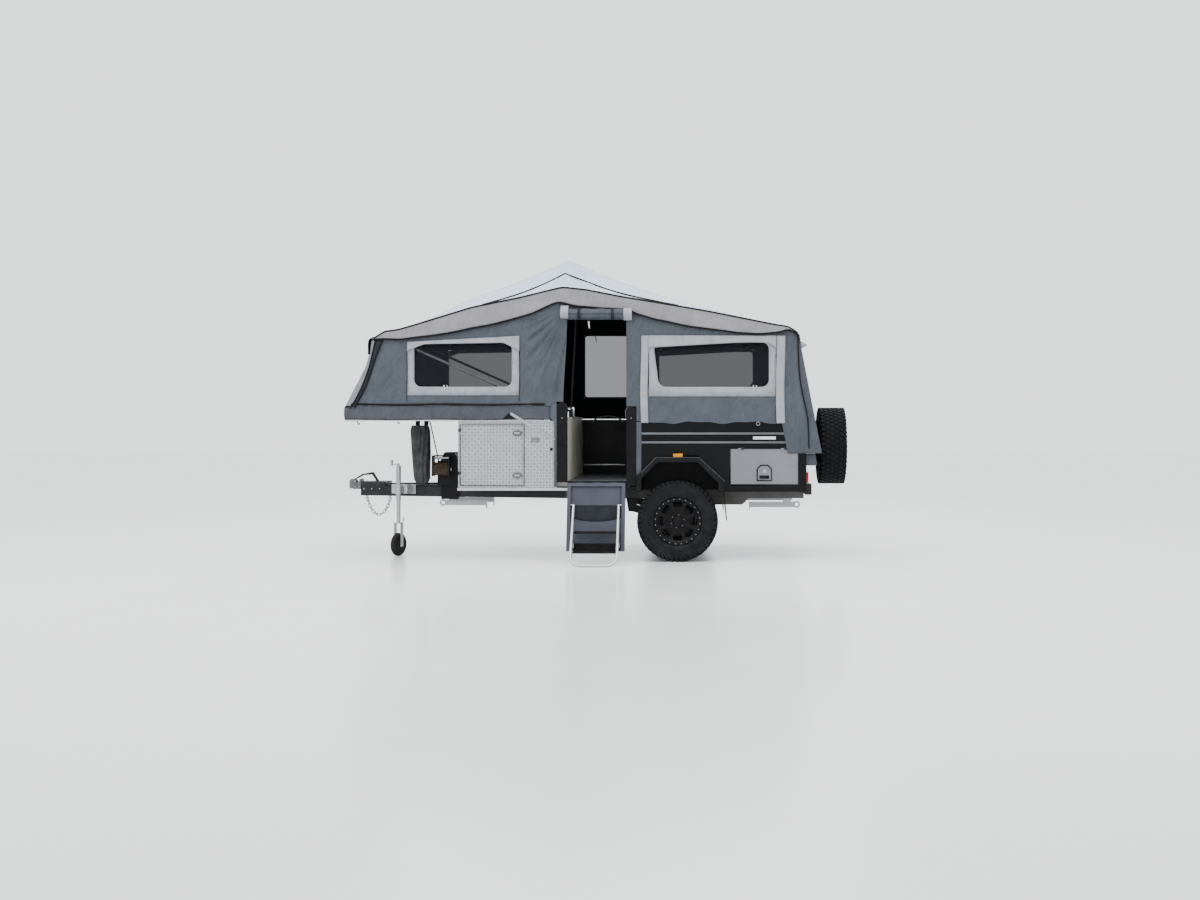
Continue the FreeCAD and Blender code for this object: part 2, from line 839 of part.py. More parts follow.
def stabiliser(x, length, way, side):
    """Folded leg under a rail: bracket, square leg, winding eye and foot pad."""
    top = rail_bottom
    middle = top - leg_drop
    half = leg_section / 2
    low, high = sorted((x, x + way * length))
    leg = box(low, high, side - half, side + half, middle - half, middle + half)
    plate_low, plate_high = sorted((x + way * leg_section / 2, x + way * leg_section * 2))
    bracket = box(plate_low, plate_high, side - half, side + half, middle, top)
    pad_low, pad_high = sorted((x + way * length, x + way * (length + leg_pad)))
    pad = box(pad_low, pad_high, side - half, side + half, middle - leg_pad_half, middle + half)
    eye_start = Vector(x - way * leg_eye_radius, side - leg_eye_thick / 2, middle)
    across = Vector(0, 1, 0)
    eye = disc(leg_eye_radius, leg_eye_thick, eye_start, across)
    hole = disc(leg_eye_hole, leg_eye_thick + overrun * 2, eye_start - across * overrun, across)
    lug_low, lug_high = sorted((x, x - way * leg_eye_radius))
    lug = box(lug_low, lug_high, side - leg_eye_thick / 2, side + leg_eye_thick / 2,
              middle - half, middle + half)
    return fuse([leg, bracket, pad, eye, lug]).cut(hole)


def make_stabilisers():
    side = -rail_line(leg_front_x + leg_front_length / 4)
    front = stabiliser(leg_front_x, leg_front_length, 1, side + leg_side)
    rear = stabiliser(leg_rear_x, leg_rear_length, -1, -chassis_line)
    save("stabilisers", both_sides(group([front, rear])))


def make_toolbox():
    outer = box(toolbox_front, toolbox_rear, -half_width, half_width, rail_top, toolbox_top)
    cavity = box(toolbox_front + toolbox_wall, toolbox_rear - toolbox_wall, -half_width + toolbox_wall,
                 half_width - toolbox_wall, rail_top + toolbox_wall, toolbox_top - toolbox_wall)
    openings = []
    for side in (-1, 1):
        y0, y1 = sorted((side * (half_width + overrun), side * (half_width - toolbox_wall)))
        openings.append(box(locker_front - run_gap, locker_rear + run_gap, y0, y1,
                            locker_bottom - run_gap, locker_top + run_gap))
    save("toolbox", outer.cut(fuse([cavity] + openings)))

    lip = box(toolbox_front, toolbox_rear, -half_width - toolbox_lip, -half_width, rail_top,
              rail_top + toolbox_lip_height)
    axis_y = -half_width - hinge_out
    door = box(locker_front, locker_rear, -half_width, -half_width + toolbox_wall, locker_bottom, locker_top)
    knuckles = []
    fixed = []
    rise = locker_top - locker_bottom
    for share in locker_hinge_shares:
        height = locker_bottom + rise * share
        centre = Vector(locker_front - hinge_radius, axis_y, height)
        knuckles.append(Part.makeCylinder(hinge_radius, hinge_height / 2 - soft_gap, centre))
        knuckles.append(box(centre.x, locker_front + hinge_radius * 4, axis_y, -half_width,
                            height, height + hinge_height / 2 - soft_gap))
        middle = centre + up * (hinge_height / 2)
        fixed.append(fuse([Part.makeCylinder(hinge_radius, hinge_height / 2, middle),
                           box(toolbox_front, middle.x, axis_y, -half_width,
                               middle.z, height + hinge_height)]))
    latches = []
    for share in locker_latch_shares:
        middle = (locker_rear - locker_latch_inset, locker_bottom + rise * share)
        plate = side_prism(oval(middle, latch_half_length, latch_half_height),
                           -half_width - latch_thick, -half_width)
        latches.append(plate)
    locker = fuse([door] + knuckles + latches)
    save("toolbox_door_near", locker)
    save("toolbox_door_far", far_side(locker))

    slats = []
    for number in range(vent_slats):
        height = vent_height + vent_gap * 2 * (number - (vent_slats - 1) / 2)
        slats.append(box(vent_x - vent_half, vent_x + vent_half, -half_width - vent_thick, -half_width,
                         height - vent_gap / 2, height + vent_gap / 2))
    return fixed, [lip] + slats


def rounded_post(x0, x1, bottom, top):
    """Padded post with a rounded head, in front of the body's side."""
    middle = (x0 + x1) / 2
    radius = (x1 - x0) / 2
    y0 = -half_width - post_out
    y1 = -half_width + post_in
    shaft = box(x0, x1, y0, y1, bottom, top - radius)
    head = disc(radius, y1 - y0, Vector(middle, y0, top - radius), Vector(0, 1, 0))
    return fuse([shaft, head])


def make_aisle():
    pan = box(toolbox_rear, body_rear, -half_width, half_width, rail_top, rail_top + floor_thick)
    arch = box(arch_front, arch_rear, -half_width - overrun, -half_width + tub_depth, rail_top - overrun,
               rail_top + floor_thick + overrun)
    base = rail_top + floor_thick
    sill = box(aisle_front, aisle_rear, -half_width, -half_width + sill_depth, base, sill_height)
    deck = box(aisle_front, aisle_rear, -half_width + sill_depth, half_width - wall,
               base, aisle_floor_height)
    save("floor", fuse([pan.cut(both_sides(arch)), sill, deck]))
    cabinet = box(toolbox_rear, aisle_front, -half_width + post_in, half_width - wall, base, cabinet_top)
    store = box(toolbox_rear - overrun, aisle_front - cabinet_wall, -half_width + post_in + cabinet_wall,
                half_width - wall - cabinet_wall, base + cabinet_wall, cabinet_top - cabinet_wall)
    front_post = rounded_post(post_front_x, aisle_front, max(base, post_front_bottom), post_front_top)
    rear_post = rounded_post(aisle_rear, post_rear_x, max(base, post_rear_bottom), post_rear_top)
    save("door_posts", group([front_post, rear_post]))
    return cabinet.cut(store)


def door_point(down, out, x):
    """Point of the hanging entry door: down from its hinge and out from its inner face."""
    lean = math.radians(door_lean)
    y = -half_width - door_hinge_out - down * math.sin(lean) - out * math.cos(lean)
    z = door_hinge_height - down * math.cos(lean) + out * math.sin(lean)
    return Vector(x, y, z)


def door_block(x0, x1, s0, s1, n0, n1):
    """Block of the entry door, in distances along and out of the hanging panel."""
    corners = [door_point(s, n, x0) for s, n in ((s0, n0), (s1, n0), (s1, n1), (s0, n1))]
    return prism(corners, Vector(x1 - x0, 0, 0))


def make_entry():
    x0 = aisle_front + door_gap
    x1 = aisle_rear - door_gap
    top = door_hinge_radius
    panel = door_block(x0, x1, top, door_length, 0, door_thick)
    recess = door_block(x0 + door_rim, x1 - door_rim, top + door_head_rim, door_length + overrun,
                        door_skin, door_thick + overrun)
    tabs = []
    knuckles = []
    width = (x1 - x0) / door_knuckles
    way = Vector(1, 0, 0)
    centre = door_point(0, 0, 0)
    for number in range(door_knuckles):
        start = x0 + width * number
        left_end = Vector(start, centre.y, centre.z)
        barrel = Part.makeCylinder(door_hinge_radius, width - soft_gap, left_end, way)
        if number % 2:
            leaf = door_block(start, start + width - soft_gap, 0, top, 0, door_hinge_radius)
            knuckles.append(fuse([barrel, leaf]))
        else:
            leaf = box(start, start + width - soft_gap, centre.y, -half_width,
                       sill_height - door_hinge_radius, centre.z)
            tabs.append(fuse([barrel, leaf]))
    save("entry_door", fuse([panel.cut(recess)] + knuckles))

    pivot_out = door_thick - ladder_radius - soft_gap
    pivot = door_point(ladder_start, pivot_out, 0)
    foot = Vector(0, -ladder_reach, ladder_radius + soft_gap)
    left = x0 + ladder_side
    right = x1 - ladder_side
    points = [Vector(left, pivot.y, pivot.z), Vector(left, foot.y, foot.z), Vector(right, foot.y, foot.z),
              Vector(right, pivot.y, pivot.z)]
    frame = bent_tube(points, ladder_radius, ladder_bend)
    pins = [rod(Vector(x0 + door_rim + soft_gap, pivot.y, pivot.z), points[0], tread_pin_radius),
            rod(points[3], Vector(x1 - door_rim - soft_gap, pivot.y, pivot.z), tread_pin_radius)]
    save("step_frame", fuse([frame] + pins))
    slope = (foot - pivot).normalize()
    for name, height, depth in zip(("step_tread_upper", "step_tread_lower"), tread_heights, tread_depths):
        along = (pivot.z - height) / -slope.z
        axis = pivot + slope * along
        inner_left = left + ladder_radius + run_gap
        inner_right = right - ladder_radius - run_gap
        board = box(inner_left, inner_right, axis.y - tread_thick / 2, axis.y + depth,
                    height - tread_thick / 2, height + tread_thick / 2)
        pin = rod(Vector(left + ladder_radius + soft_gap, axis.y, height),
                  Vector(right - ladder_radius - soft_gap, axis.y, height), tread_pin_radius)
        save(name, fuse([board, pin]))
        print(name, "axis", round(axis.y, 2), round(axis.z - ball_height, 2))
    print("ladder pivot", round(pivot.y, 2), round(pivot.z - ball_height, 2),
          "angle", round(math.degrees(math.atan2(pivot.y - foot.y, pivot.z - foot.z)), 3))
    print("door hinge", round(centre.y, 2), round(centre.z - ball_height, 2))
    return tabs


def arch_outline(inset):
    """Wheel arch: upright front, flat top and sloping rear, drawn in by an inset."""
    slope = inset * math.tan(math.pi / 8)
    rise = arch_top - (arch_top_front - arch_front)
    return [(arch_front + inset, arch_foot), (arch_front + inset, rise - slope),
            (arch_top_front + slope, arch_top - inset), (arch_top_rear - slope, arch_top - inset),
            (arch_rear - inset, arch_rear_shoulder - slope), (arch_rear - inset, arch_foot)]


def open_below(outline):
    """Arch outline with its feet run past the bottom edge, for cutting."""
    return [(x, z - overrun if z == arch_foot else z) for x, z in outline]


def make_body():
    side = box(body_front, body_rear, -half_width, -half_width + wall, body_bottom, body_top)
    arch = arch_outline(flare_band)
    low = [(arch[0][0], body_bottom - overrun)] + arch + [(arch[-1][0], body_bottom - overrun)]
    arch_cut = side_prism(low, -half_width - overrun, -half_width + wall + overrun)
    hatch_cut = box(hatch_front - run_gap, hatch_rear + run_gap, -half_width - overrun,
                    -half_width + wall + overrun, hatch_bottom - run_gap, hatch_top + run_gap)
    floor_cut = box(body_front - overrun, body_rear + overrun, -half_width, -half_width + wall + overrun,
                    rail_top, rail_top + floor_thick)
    post_cut = box(body_front - overrun, post_rear_x, -half_width - overrun, -half_width + post_in,
                   body_bottom - overrun, body_top + overrun)
    near = side.cut(fuse([arch_cut, hatch_cut])).cut(floor_cut).cut(post_cut)
    aisle_side = box(toolbox_rear, body_rear, -half_width, -half_width + wall, body_bottom, body_top)
    pan_cut = box(toolbox_rear - overrun, body_rear + overrun, -half_width, -half_width + wall + overrun,
                  rail_top, rail_top + floor_thick)
    far = far_side(aisle_side.cut(fuse([arch_cut, hatch_cut])).cut(pan_cut))
    save("body_sides", near)
    save("body_side_far", far)
    base = rail_top + floor_thick
    inner = half_width - wall
    rear = box(body_rear - wall, body_rear, -inner, inner, base, body_top)
    bulkhead = box(aisle_rear, body_front, -half_width + post_in, inner, base, bench_height)
    skirt = box(body_rear - wall, body_rear, -inner, -chassis_outer, body_bottom, rail_top)
    save("body_rear", group([rear, both_sides(skirt)]))

    hatch = box(hatch_front, hatch_rear, -half_width, -half_width + wall, hatch_bottom, hatch_top)
    axis = Vector(0, -half_width - hinge_out, hatch_top)
    leaves = []
    fixed = []
    length = hatch_rear - hatch_front
    way = Vector(1, 0, 0)
    for share in hatch_hinge_shares:
        start = hatch_front + length * share
        leaves.append(fuse([Part.makeCylinder(hinge_radius, hinge_height / 2 - soft_gap,
                                              Vector(start, axis.y, axis.z), way),
                            box(start, start + hinge_height / 2 - soft_gap, axis.y, -half_width,
                                axis.z - hinge_radius * 3, axis.z)]))
        fixed.append(fuse([Part.makeCylinder(hinge_radius, hinge_height / 2,
                                             Vector(start + hinge_height / 2, axis.y, axis.z), way),
                           box(start + hinge_height / 2, start + hinge_height, axis.y, -half_width,
                               axis.z, axis.z + hinge_radius * 3)]))
    middle = (hatch_front + hatch_rear) / 2
    height = (hatch_bottom + hatch_top) / 2 - hatch_latch_drop
    wide = hatch_latch_half
    tall = hatch_latch_height
    plate = side_prism([(middle - wide, height - tall), (middle + wide, height - tall),
                        (middle + wide, height + tall / 2), (middle + wide / 2, height + tall),
                        (middle - wide / 2, height + tall), (middle - wide, height + tall / 2)],
                       -half_width - latch_thick, -half_width)
    save("hatch_near", fuse([hatch, plate] + leaves))
    save("hatch_far", far_side(fuse([hatch, plate] + leaves)))

    strips = [box(post_rear_x, drape_front - run_gap, -half_width - moulding_out, -half_width,
                  height - moulding_height / 2, height + moulding_height / 2) for height in moulding_heights]

    outer = side_prism(arch_outline(0), -half_width - flare_out, -half_width)
    inner_cut = side_prism(open_below(arch_outline(flare_band)),
                           -half_width - flare_out - overrun, -half_width + overrun)
    save("arch_flares", both_sides(outer.cut(inner_cut)))

    back = -half_width + tub_depth - tub_wall
    shell = side_prism(arch_outline(flare_band), -half_width, back - soft_gap)
    hole = side_prism(open_below(arch_outline(flare_band + tub_wall)), -half_width - overrun, back + overrun)
    plate = side_prism(arch_outline(flare_band), back, back + tub_wall)
    save("wheel_tubs", both_sides(group([shell.cut(hole), plate])))
    flap_top = body_bottom - run_gap
    upper = box(arch_rear, arch_rear + flap_thick, -half_width - flare_out, -half_width - soft_gap,
                flap_top, flap_height)
    lower = side_prism([(arch_rear, flap_top), (arch_rear + flap_thick, flap_top),
                        (arch_rear + flap_sweep + flap_thick, flap_bottom),
                        (arch_rear + flap_sweep, flap_bottom)],
                       -half_width - flare_out, -half_width + tub_depth)
    save("mud_flaps", both_sides(fuse([upper, lower])))
    return bulkhead, fixed, strips


def make_lounge(cabinet, bulkhead, mattress):
    base = rail_top + floor_thick
    inner = half_width - wall
    rear = body_rear - wall
    split = rear - bench_rear_depth
    under = bench_height - bench_wall
    edge = inner - bench_depth
    near_top = box(body_front, split - soft_gap, -inner, -edge, under, bench_height)
    post = box(body_front - overrun, post_rear_x, -half_width - overrun, -half_width + post_in,
               under - overrun, bench_height + overrun)
    save("bench_tops", group([near_top.cut(post), far_side(near_top),
                              box(split, rear, -inner, inner, under, bench_height)]))
    side_front = box(body_front, split - soft_gap, -edge - bench_wall, -edge, base, under)
    save("bench_fronts", group([both_sides(side_front),
                                box(split, split + bench_wall, -edge, edge, base, under)]))
    save("interior", group([cabinet, bulkhead]))
    low = bench_height + soft_gap
    side = inner - soft_gap - cushion_gap
    seat = bench_depth - cushion_gap
    top = low + cushion_thick
    pads = [box(post_rear_x + cushion_gap, split - cushion_gap, -side, -side + seat, low, top),
            box(post_rear_x + cushion_gap, split - cushion_gap, side - seat, side, low, top),
            box(split, rear - cushion_gap, -side, side, low, top)]
    save("cushions", group(pads + [mattress]))


def turned(profile, centre, way, start, sides):
    """Many-sided ring or disc whose profile is (radius, distance along the axis) pairs."""
    side = way.cross(start)
    rings = []
    for number in range(sides):
        turn = 2 * math.pi * number / sides
        out = start * math.cos(turn) + side * math.sin(turn)
        rings.append([centre + out * r + way * a for r, a in profile])
    return skinned(rings, True)


def tyre(centre, way):
    """Tyre with round shoulders; its outer wall is at distance zero and way points inward."""
    width = tyre_width
    crown = wheel_radius
    belly = crown - (crown - rim_radius) * tyre_side_share
    bead, swell, wall_top, shoulder = [tyre_shoulder * share for share in tyre_wall_shares]
    profile = [(rim_radius, bead), (rim_radius + rim_bead, swell), (belly, 0),
               (crown - tyre_shoulder, wall_top), (crown - tyre_shoulder * tyre_round_share, shoulder),
               (crown, tyre_shoulder)]
    mirrored = [(r, width - a) for r, a in reversed(profile)]
    return turned(profile + mirrored, centre, way, up, wheel_sides)


def rim(centre, way):
    """Wheel with a bead ring, a dished face with windows, and a centre cap."""
    barrel = tyre_width - tyre_shoulder / 2
    start = tyre_shoulder / 2
    lip = rim_radius - rim_bead
    inside = lip - rim_bead
    shell = turned([(lip, start - rim_flange), (rim_radius, start - rim_flange), (rim_radius, barrel),
                      (inside, barrel), (inside, rim_dish + rim_face), (rim_hub_radius, rim_dish + rim_face),
                      (0, rim_dish + rim_face), (0, rim_dish - rim_flange),
                      (rim_cap_radius, rim_dish - rim_flange), (rim_cap_radius, rim_dish + rim_flange),
                      (rim_hub_radius, rim_dish), (inside - rim_bead, rim_dish), (inside, start)],
                     centre, way, up, wheel_sides)
    turn = 2 * math.pi / rim_windows
    side = way.cross(up)
    middle = (rim_window_inner + rim_window_outer) / 2
    half = (rim_window_outer - rim_window_inner) / 2
    cuts = []
    for number in range(rim_windows):
        corners = []
        for step in range(rim_window_sides):
            corner = 2 * math.pi * (step + 0.5) / rim_window_sides
            out, wide = [math.copysign(abs(value) ** rim_window_square_share, value)
                         for value in (math.cos(corner), math.sin(corner))]
            radius = middle + half * out
            angle = turn * (number + rim_window_share / 2 * wide * (1 + rim_window_taper_share * out))
            corners.append(centre + up * (radius * math.cos(angle)) + side * (radius * math.sin(angle))
                           + way * (rim_dish - overrun))
        cuts.append(prism(corners, way * (rim_face + overrun * 2)))
    return shell.cut(group(cuts))


def make_wheels():
    inward = Vector(0, 1, 0)
    centre = Vector(axle_x, -tyre_outer, wheel_radius)
    near_tyre = tyre(centre, inward)
    near_rim = rim(centre, inward)
    save("tyre_near", near_tyre)
    save("tyre_far", far_side(near_tyre))
    arm_outer = chassis_line + arm_width / 2
    face = rim_dish + rim_face
    hub_start = centre + inward * face
    hub_length = tyre_width - face
    hub = Part.makeCylinder(hub_radius, hub_length, hub_start, inward)
    bore = Part.makeCylinder(stub_radius + stub_play, hub_length - rim_face + overrun,
                             hub_start + inward * rim_face, inward)
    hubbed = fuse([near_rim, hub.cut(bore)])
    save("rim_near", hubbed)
    save("rim_far", far_side(hubbed))
    stub_end = -tyre_outer + face + rim_face + run_gap
    stub = rod(Vector(axle_x, stub_end, wheel_radius), Vector(axle_x, -arm_outer, wheel_radius), stub_radius)
    middle = -chassis_line
    y0 = middle - arm_width / 2
    y1 = middle + arm_width / 2
    fall = arm_pivot_height - wheel_radius
    run = axle_x - arm_pivot_x
    length = math.hypot(run, fall)
    normal = (fall / length, run / length)

    def edge(x, z, depth):
        return (x + normal[0] * depth / 2, z + normal[1] * depth / 2)

    outline = [edge(arm_pivot_x, arm_pivot_height, arm_pivot_depth),
               edge(axle_x, wheel_radius, arm_axle_depth), edge(axle_x, wheel_radius, -arm_axle_depth),
               edge(arm_pivot_x, arm_pivot_height, -arm_pivot_depth)]
    beam = side_prism(outline, y0, y1)
    ends = [Part.makeCylinder(depth / 2, arm_width, Vector(x, y0, z), inward) for x, z, depth in
            ((arm_pivot_x, arm_pivot_height, arm_pivot_depth), (axle_x, wheel_radius, arm_axle_depth))]
    arm = fuse([beam, stub] + ends)
    cheeks = []
    for y in (y0 - soft_gap - arm_bracket, y1 + soft_gap):
        half = arm_pivot_depth / 2
        cheeks.append(side_prism([(arm_pivot_x - half, arm_pivot_height - half),
                                  (arm_pivot_x + half, arm_pivot_height - half),
                                  (arm_pivot_x + arm_bracket_reach, rail_bottom),
                                  (arm_pivot_x - arm_bracket_reach, rail_bottom)], y, y + arm_bracket))
    cap = box(arm_pivot_x - arm_bracket_reach, arm_pivot_x + arm_bracket_reach, y0 - soft_gap - arm_bracket,
              y1 + soft_gap + arm_bracket, rail_bottom - arm_bracket, rail_bottom)
    line = -chassis_outer - damper_radius - run_gap
    foot = Vector(damper_foot_x, line, damper_foot_height)
    head = Vector(damper_head_x, line, damper_head_height)
    way = (head - foot).normalize()
    split = foot + way * ((head - foot).Length * damper_rod_share)
    lower_pin = rod(Vector(foot.x, line, foot.z), Vector(foot.x, y0, foot.z), damper_rod_radius)
    upper_pin = rod(Vector(head.x, line, head.z), Vector(head.x, -chassis_outer, head.z), damper_rod_radius)
    damper = [rod(foot, split, damper_rod_radius), rod(split, head, damper_radius), lower_pin, upper_pin]
    save("suspension", both_sides(group([fuse([arm] + damper), fuse(cheeks + [cap])])))


def make_spare():
    forward = Vector(-1, 0, 0)
    centre = Vector(spare_rear, 0, spare_height)
    save("spare_tyre", tyre(centre, forward))
    save("spare_rim", rim(centre, forward))
    half = carrier_post / 2
    post_front = body_rear + bumper_out
    mount_x = spare_rear - rim_dish - rim_face
    post = box(body_rear, post_front, -half, half, bumper_top, spare_height + half)
    beam = box(body_rear, mount_x - carrier_plate, -half, half, spare_height - half, spare_height + half)
    plate = Part.makeCylinder(carrier_plate_radius, carrier_plate,
                              Vector(mount_x - carrier_plate, 0, spare_height), Vector(1, 0, 0))
    bar = box(body_rear, post_front, -bumper_half, bumper_half, bumper_bottom, bumper_top)
    save("rear_frame", fuse([bar, post, beam, plate]))


def make_lamps():
    lamp = box(marker_x - marker_half, marker_x + marker_half, -half_width - marker_out, -half_width,
               arch_top, arch_top + marker_rise)
    bar = box(bar_lamp_front, bar_lamp_rear, -half_width - bar_lamp_out, -half_width,
              bar_lamp_height - bar_lamp_half_height, bar_lamp_height + bar_lamp_half_height)
    tail = box(body_rear, body_rear + tail_lamp_out, -half_width + tail_lamp_inset,
               -half_width + tail_lamp_inset + tail_lamp_width, tail_lamp_bottom, tail_lamp_top)
    save("lamps", both_sides(group([lamp, bar, tail])))


def station_edge(offset):
    """Edge of the roof in the side view, lowered by an offset."""
    return [(x, z - offset) for x, z in zip(roof_stations, roof_edges)]


def edge_height(x, heights=None):
    """Height of the roof's edge, or of another line over the same stations, at x."""
    line = heights or roof_edges
    for a, b, za, zb in zip(roof_stations, roof_stations[1:], line, line[1:]):
        if a <= x <= b:
            return za + (zb - za) * (x - a) / (b - a)
    return line[0] if x < roof_stations[0] else line[-1]


def rounded_window(x0, x1, z0, z1, y0, y1):
    """Window opening with round corners, for cutting."""
    outline = []
    for number, (x, z) in enumerate(((x1, z1), (x0, z1), (x0, z0), (x1, z0))):
        hub_x = x + math.copysign(window_corner, (x0 + x1) / 2 - x)
        hub_z = z + math.copysign(window_corner, (z0 + z1) / 2 - z)
        for step in range(bend_steps + 1):
            turn = math.pi / 2 * (number + step / bend_steps)
            outline.append((hub_x + window_corner * math.cos(turn), hub_z + window_corner * math.sin(turn)))
    return side_prism(outline, y0, y1)


def side_wall(door):
    """Near tent wall, with or without the doorway, in its plane outside the body."""
    y0 = -tent_side
    y1 = -half_width - soft_gap
    top = station_edge(roof_thick + soft_gap)
    outline = [(deck_front, skirt_top)] + top + [(tent_rear_foot, tent_side_bottom),
                                                     (post_rear_x, tent_side_bottom)]
    if door:
        outline += [(post_rear_x, post_rear_top + soft_gap), (aisle_rear, post_rear_top + soft_gap),
                    (aisle_rear, tent_door_top), (aisle_front, tent_door_top),
                    (aisle_front, post_front_top + soft_gap), (post_front_x, post_front_top + soft_gap),
                    (post_front_x, skirt_top)]
    else:
        outline += [(toolbox_rear, tent_side_bottom), (toolbox_rear, skirt_top)]
    panel = side_prism(outline, y0, y1)
    far_y, near_y = y0 - overrun, y1 + overrun
    cuts = [rounded_window(window_front_left, window_front_right, window_front_bottom, window_front_top,
                           far_y, near_y),
            rounded_window(window_rear_left, window_rear_right, window_rear_bottom, window_rear_top,
                           far_y, near_y)]
    if not door:
        cuts.append(rounded_window(window_far_left, window_far_right, window_far_bottom, window_far_top,
                                   far_y, near_y))
    return panel.cut(group(cuts))


def sloped_sheet(foot, head, half, inward):
    """Flat sheet between the side walls, from a foot point up to a head point."""
    x_foot, z_foot = foot
    x_head, z_head = head
    outline = [(x_foot, z_foot), (x_head, z_head), (x_head + inward, z_head), (x_foot + inward, z_foot)]
    return side_prism(outline, -half, half)


def make_tent():
    save("tent_sides", group([side_wall(True), far_side(side_wall(False))]))
    inside = half_width + soft_gap
    head = station_edge(roof_thick + soft_gap)
    lean = cloth
    save("tent_ends", group([sloped_sheet((deck_front, skirt_top), head[0], inside, lean),
                             sloped_sheet((tent_rear_foot, tent_side_bottom), head[-1], inside, -lean)]))

    sections = []
    out = tent_side + roof_out
    places = [a + (b - a) * number / roof_steps for a, b in zip(roof_stations, roof_stations[1:])
              for number in range(roof_steps)]
    for x in places + [roof_stations[-1]]:
        edge = edge_height(x)
        ridge = edge_height(x, roof_ridges)
        points = [(-out, edge), (0, ridge), (out, edge), (out, edge - roof_thick), (0, ridge - roof_thick),
                  (-out, edge - roof_thick)]
        sections.append([Vector(x, y, z) for y, z in points])
    roof = skinned(sections)
    band = side_prism(station_edge(0) + valance_line[::-1], -out - cloth, -out)
    save("tent_roof", fuse([roof, band, far_side(band)]))

    y0 = -tent_side + cloth / 3
    y1 = y0 + cloth / 3
    front = (window_front_left, window_front_right, window_front_bottom, window_front_top)
    rear = (window_rear_left, window_rear_right, window_rear_bottom, window_rear_top)
    far = (window_far_left, window_far_right, window_far_bottom, window_far_top)
    near_panes = [rounded_window(*size, y0, y1) for size in (front, rear)]
    panes = [rounded_window(*far, y0, y1)]
    save("window_screens", group(near_panes + [far_side(group(near_panes + panes))]))

    y0 = -tent_side
    y1 = -half_width - soft_gap
    over_hatch = hatch_top + run_gap
    near_flap = fuse([box(drape_front, tent_rear_foot, y0, y1, over_hatch, tent_side_bottom),
                      box(hatch_rear + run_gap, tent_rear_foot, y0, y1, drape_bottom, over_hatch)])
    rear_flap = box(tent_rear_foot - cloth, tent_rear_foot, y1, y1 + drape_side,
                    drape_bottom, tent_side_bottom)
    return fuse([near_flap, rear_flap])


def make_deck(drape):
    y = half_width - soft_gap
    frame = box(deck_front, deck_rear, -y, y, deck_bottom, deck_top)
    lip = box(deck_front, toolbox_front, -y, y, deck_bottom, skirt_bottom)
    recess = box(deck_front + deck_rib, toolbox_front - deck_rib, -y + deck_rib, y - deck_rib,
                 deck_bottom - overrun, deck_top - deck_rib)
    ribs = []
    pitch = (toolbox_front - deck_front - deck_rib) / deck_bays
    for number in range(1, deck_bays):
        x = deck_front + pitch * number
        ribs.append(box(x, x + deck_rib, -y + deck_rib, y - deck_rib, deck_bottom, deck_top - deck_rib))
    save("bed_deck", fuse([frame.cut(recess), lip.cut(recess)] + ribs))
    outer = tent_side
    inner = half_width + soft_gap
    inside = deck_front - soft_gap
    outside = inside - cloth
    ring = plan_prism([(outside, -outer), (toolbox_rear, -outer), (toolbox_rear, -inner), (inside, -inner),
                       (inside, inner), (toolbox_rear, inner), (toolbox_rear, outer), (outside, outer)],
                      skirt_bottom, skirt_top)
    head = Vector(brace_top_x, -outer - soft_gap, brace_top_height)
    foot = Vector(brace_foot_x, -outer - soft_gap, brace_foot_height)
    holes = Part.makeCylinder(brace_pin_radius + soft_gap, outer * 2 + overrun * 2,
                              Vector(brace_top_x, -outer - overrun, brace_top_height), Vector(0, 1, 0))
    save("tent_skirts", group([ring.cut(holes), drape, far_side(drape)]))
    way = (foot - head).normalize()
    side = way.cross(Vector(0, 1, 0)) * brace_half
    outward = Vector(0, -brace_thick, 0)
    arm = [prism([head - side, foot - side, foot + side, head + side], outward)]
    arm += [disc(brace_half, brace_thick, end, outward / brace_thick) for end in (head, foot)]
    pins = [rod(Vector(head.x, -y, head.z), head, brace_pin_radius),
            rod(Vector(foot.x, -half_width, foot.z), foot, brace_pin_radius)]
    save("deck_braces", both_sides(fuse(arm + pins)))
    edge = y - mattress_inset
    return box(deck_front + mattress_inset * 2, deck_rear - mattress_inset, -edge, edge,
               deck_top + soft_gap, deck_top + soft_gap + mattress_thick)


def bow(x_foot, z_foot, x_head, inset, upright=0):
    """Bent tube from one side foot over the tent to the other, just under the roof."""
    side = half_width - inset
    share = side / (tent_side + roof_out)
    edge = edge_height(x_head)
    ridge = edge_height(x_head, roof_ridges)
    knee = edge + (ridge - edge) * (1 - share) - roof_thick - bow_clear - bow_radius
    crown = ridge - roof_thick - bow_clear - bow_radius
    foot = [Vector(x_foot, -side, z_foot)]
    if upright:
        foot.append(Vector(x_foot, -side, z_foot + upright))
    head = [Vector(x_head, -side, knee), Vector(x_head, 0, crown), Vector(x_head, side, knee)]
    return bent_tube(foot + head + [Vector(p.x, -p.y, p.z) for p in foot[::-1]], bow_radius, bow_bend)


def make_bows():
    front = bow(bow_foot_x, bow_foot_height, bow_front_x, bow_inset)
    middle = bow(bow_foot_x, bow_foot_height, roof_stations[2], bow_inset + bow_spacing)
    rear = bow(bow_rear_foot_x, body_top, bow_rear_x, bow_inset, bow_bend)
    low = -half_width + bow_radius / 2
    front_seat = box(bow_foot_x - bow_bracket / 2, toolbox_rear, low,
                     -half_width + bow_inset + bow_spacing + bow_radius, toolbox_top, bow_foot_height)
    save("tent_bows", fuse([front, middle, front_seat, far_side(front_seat)]))
    save("rear_bow", rear)


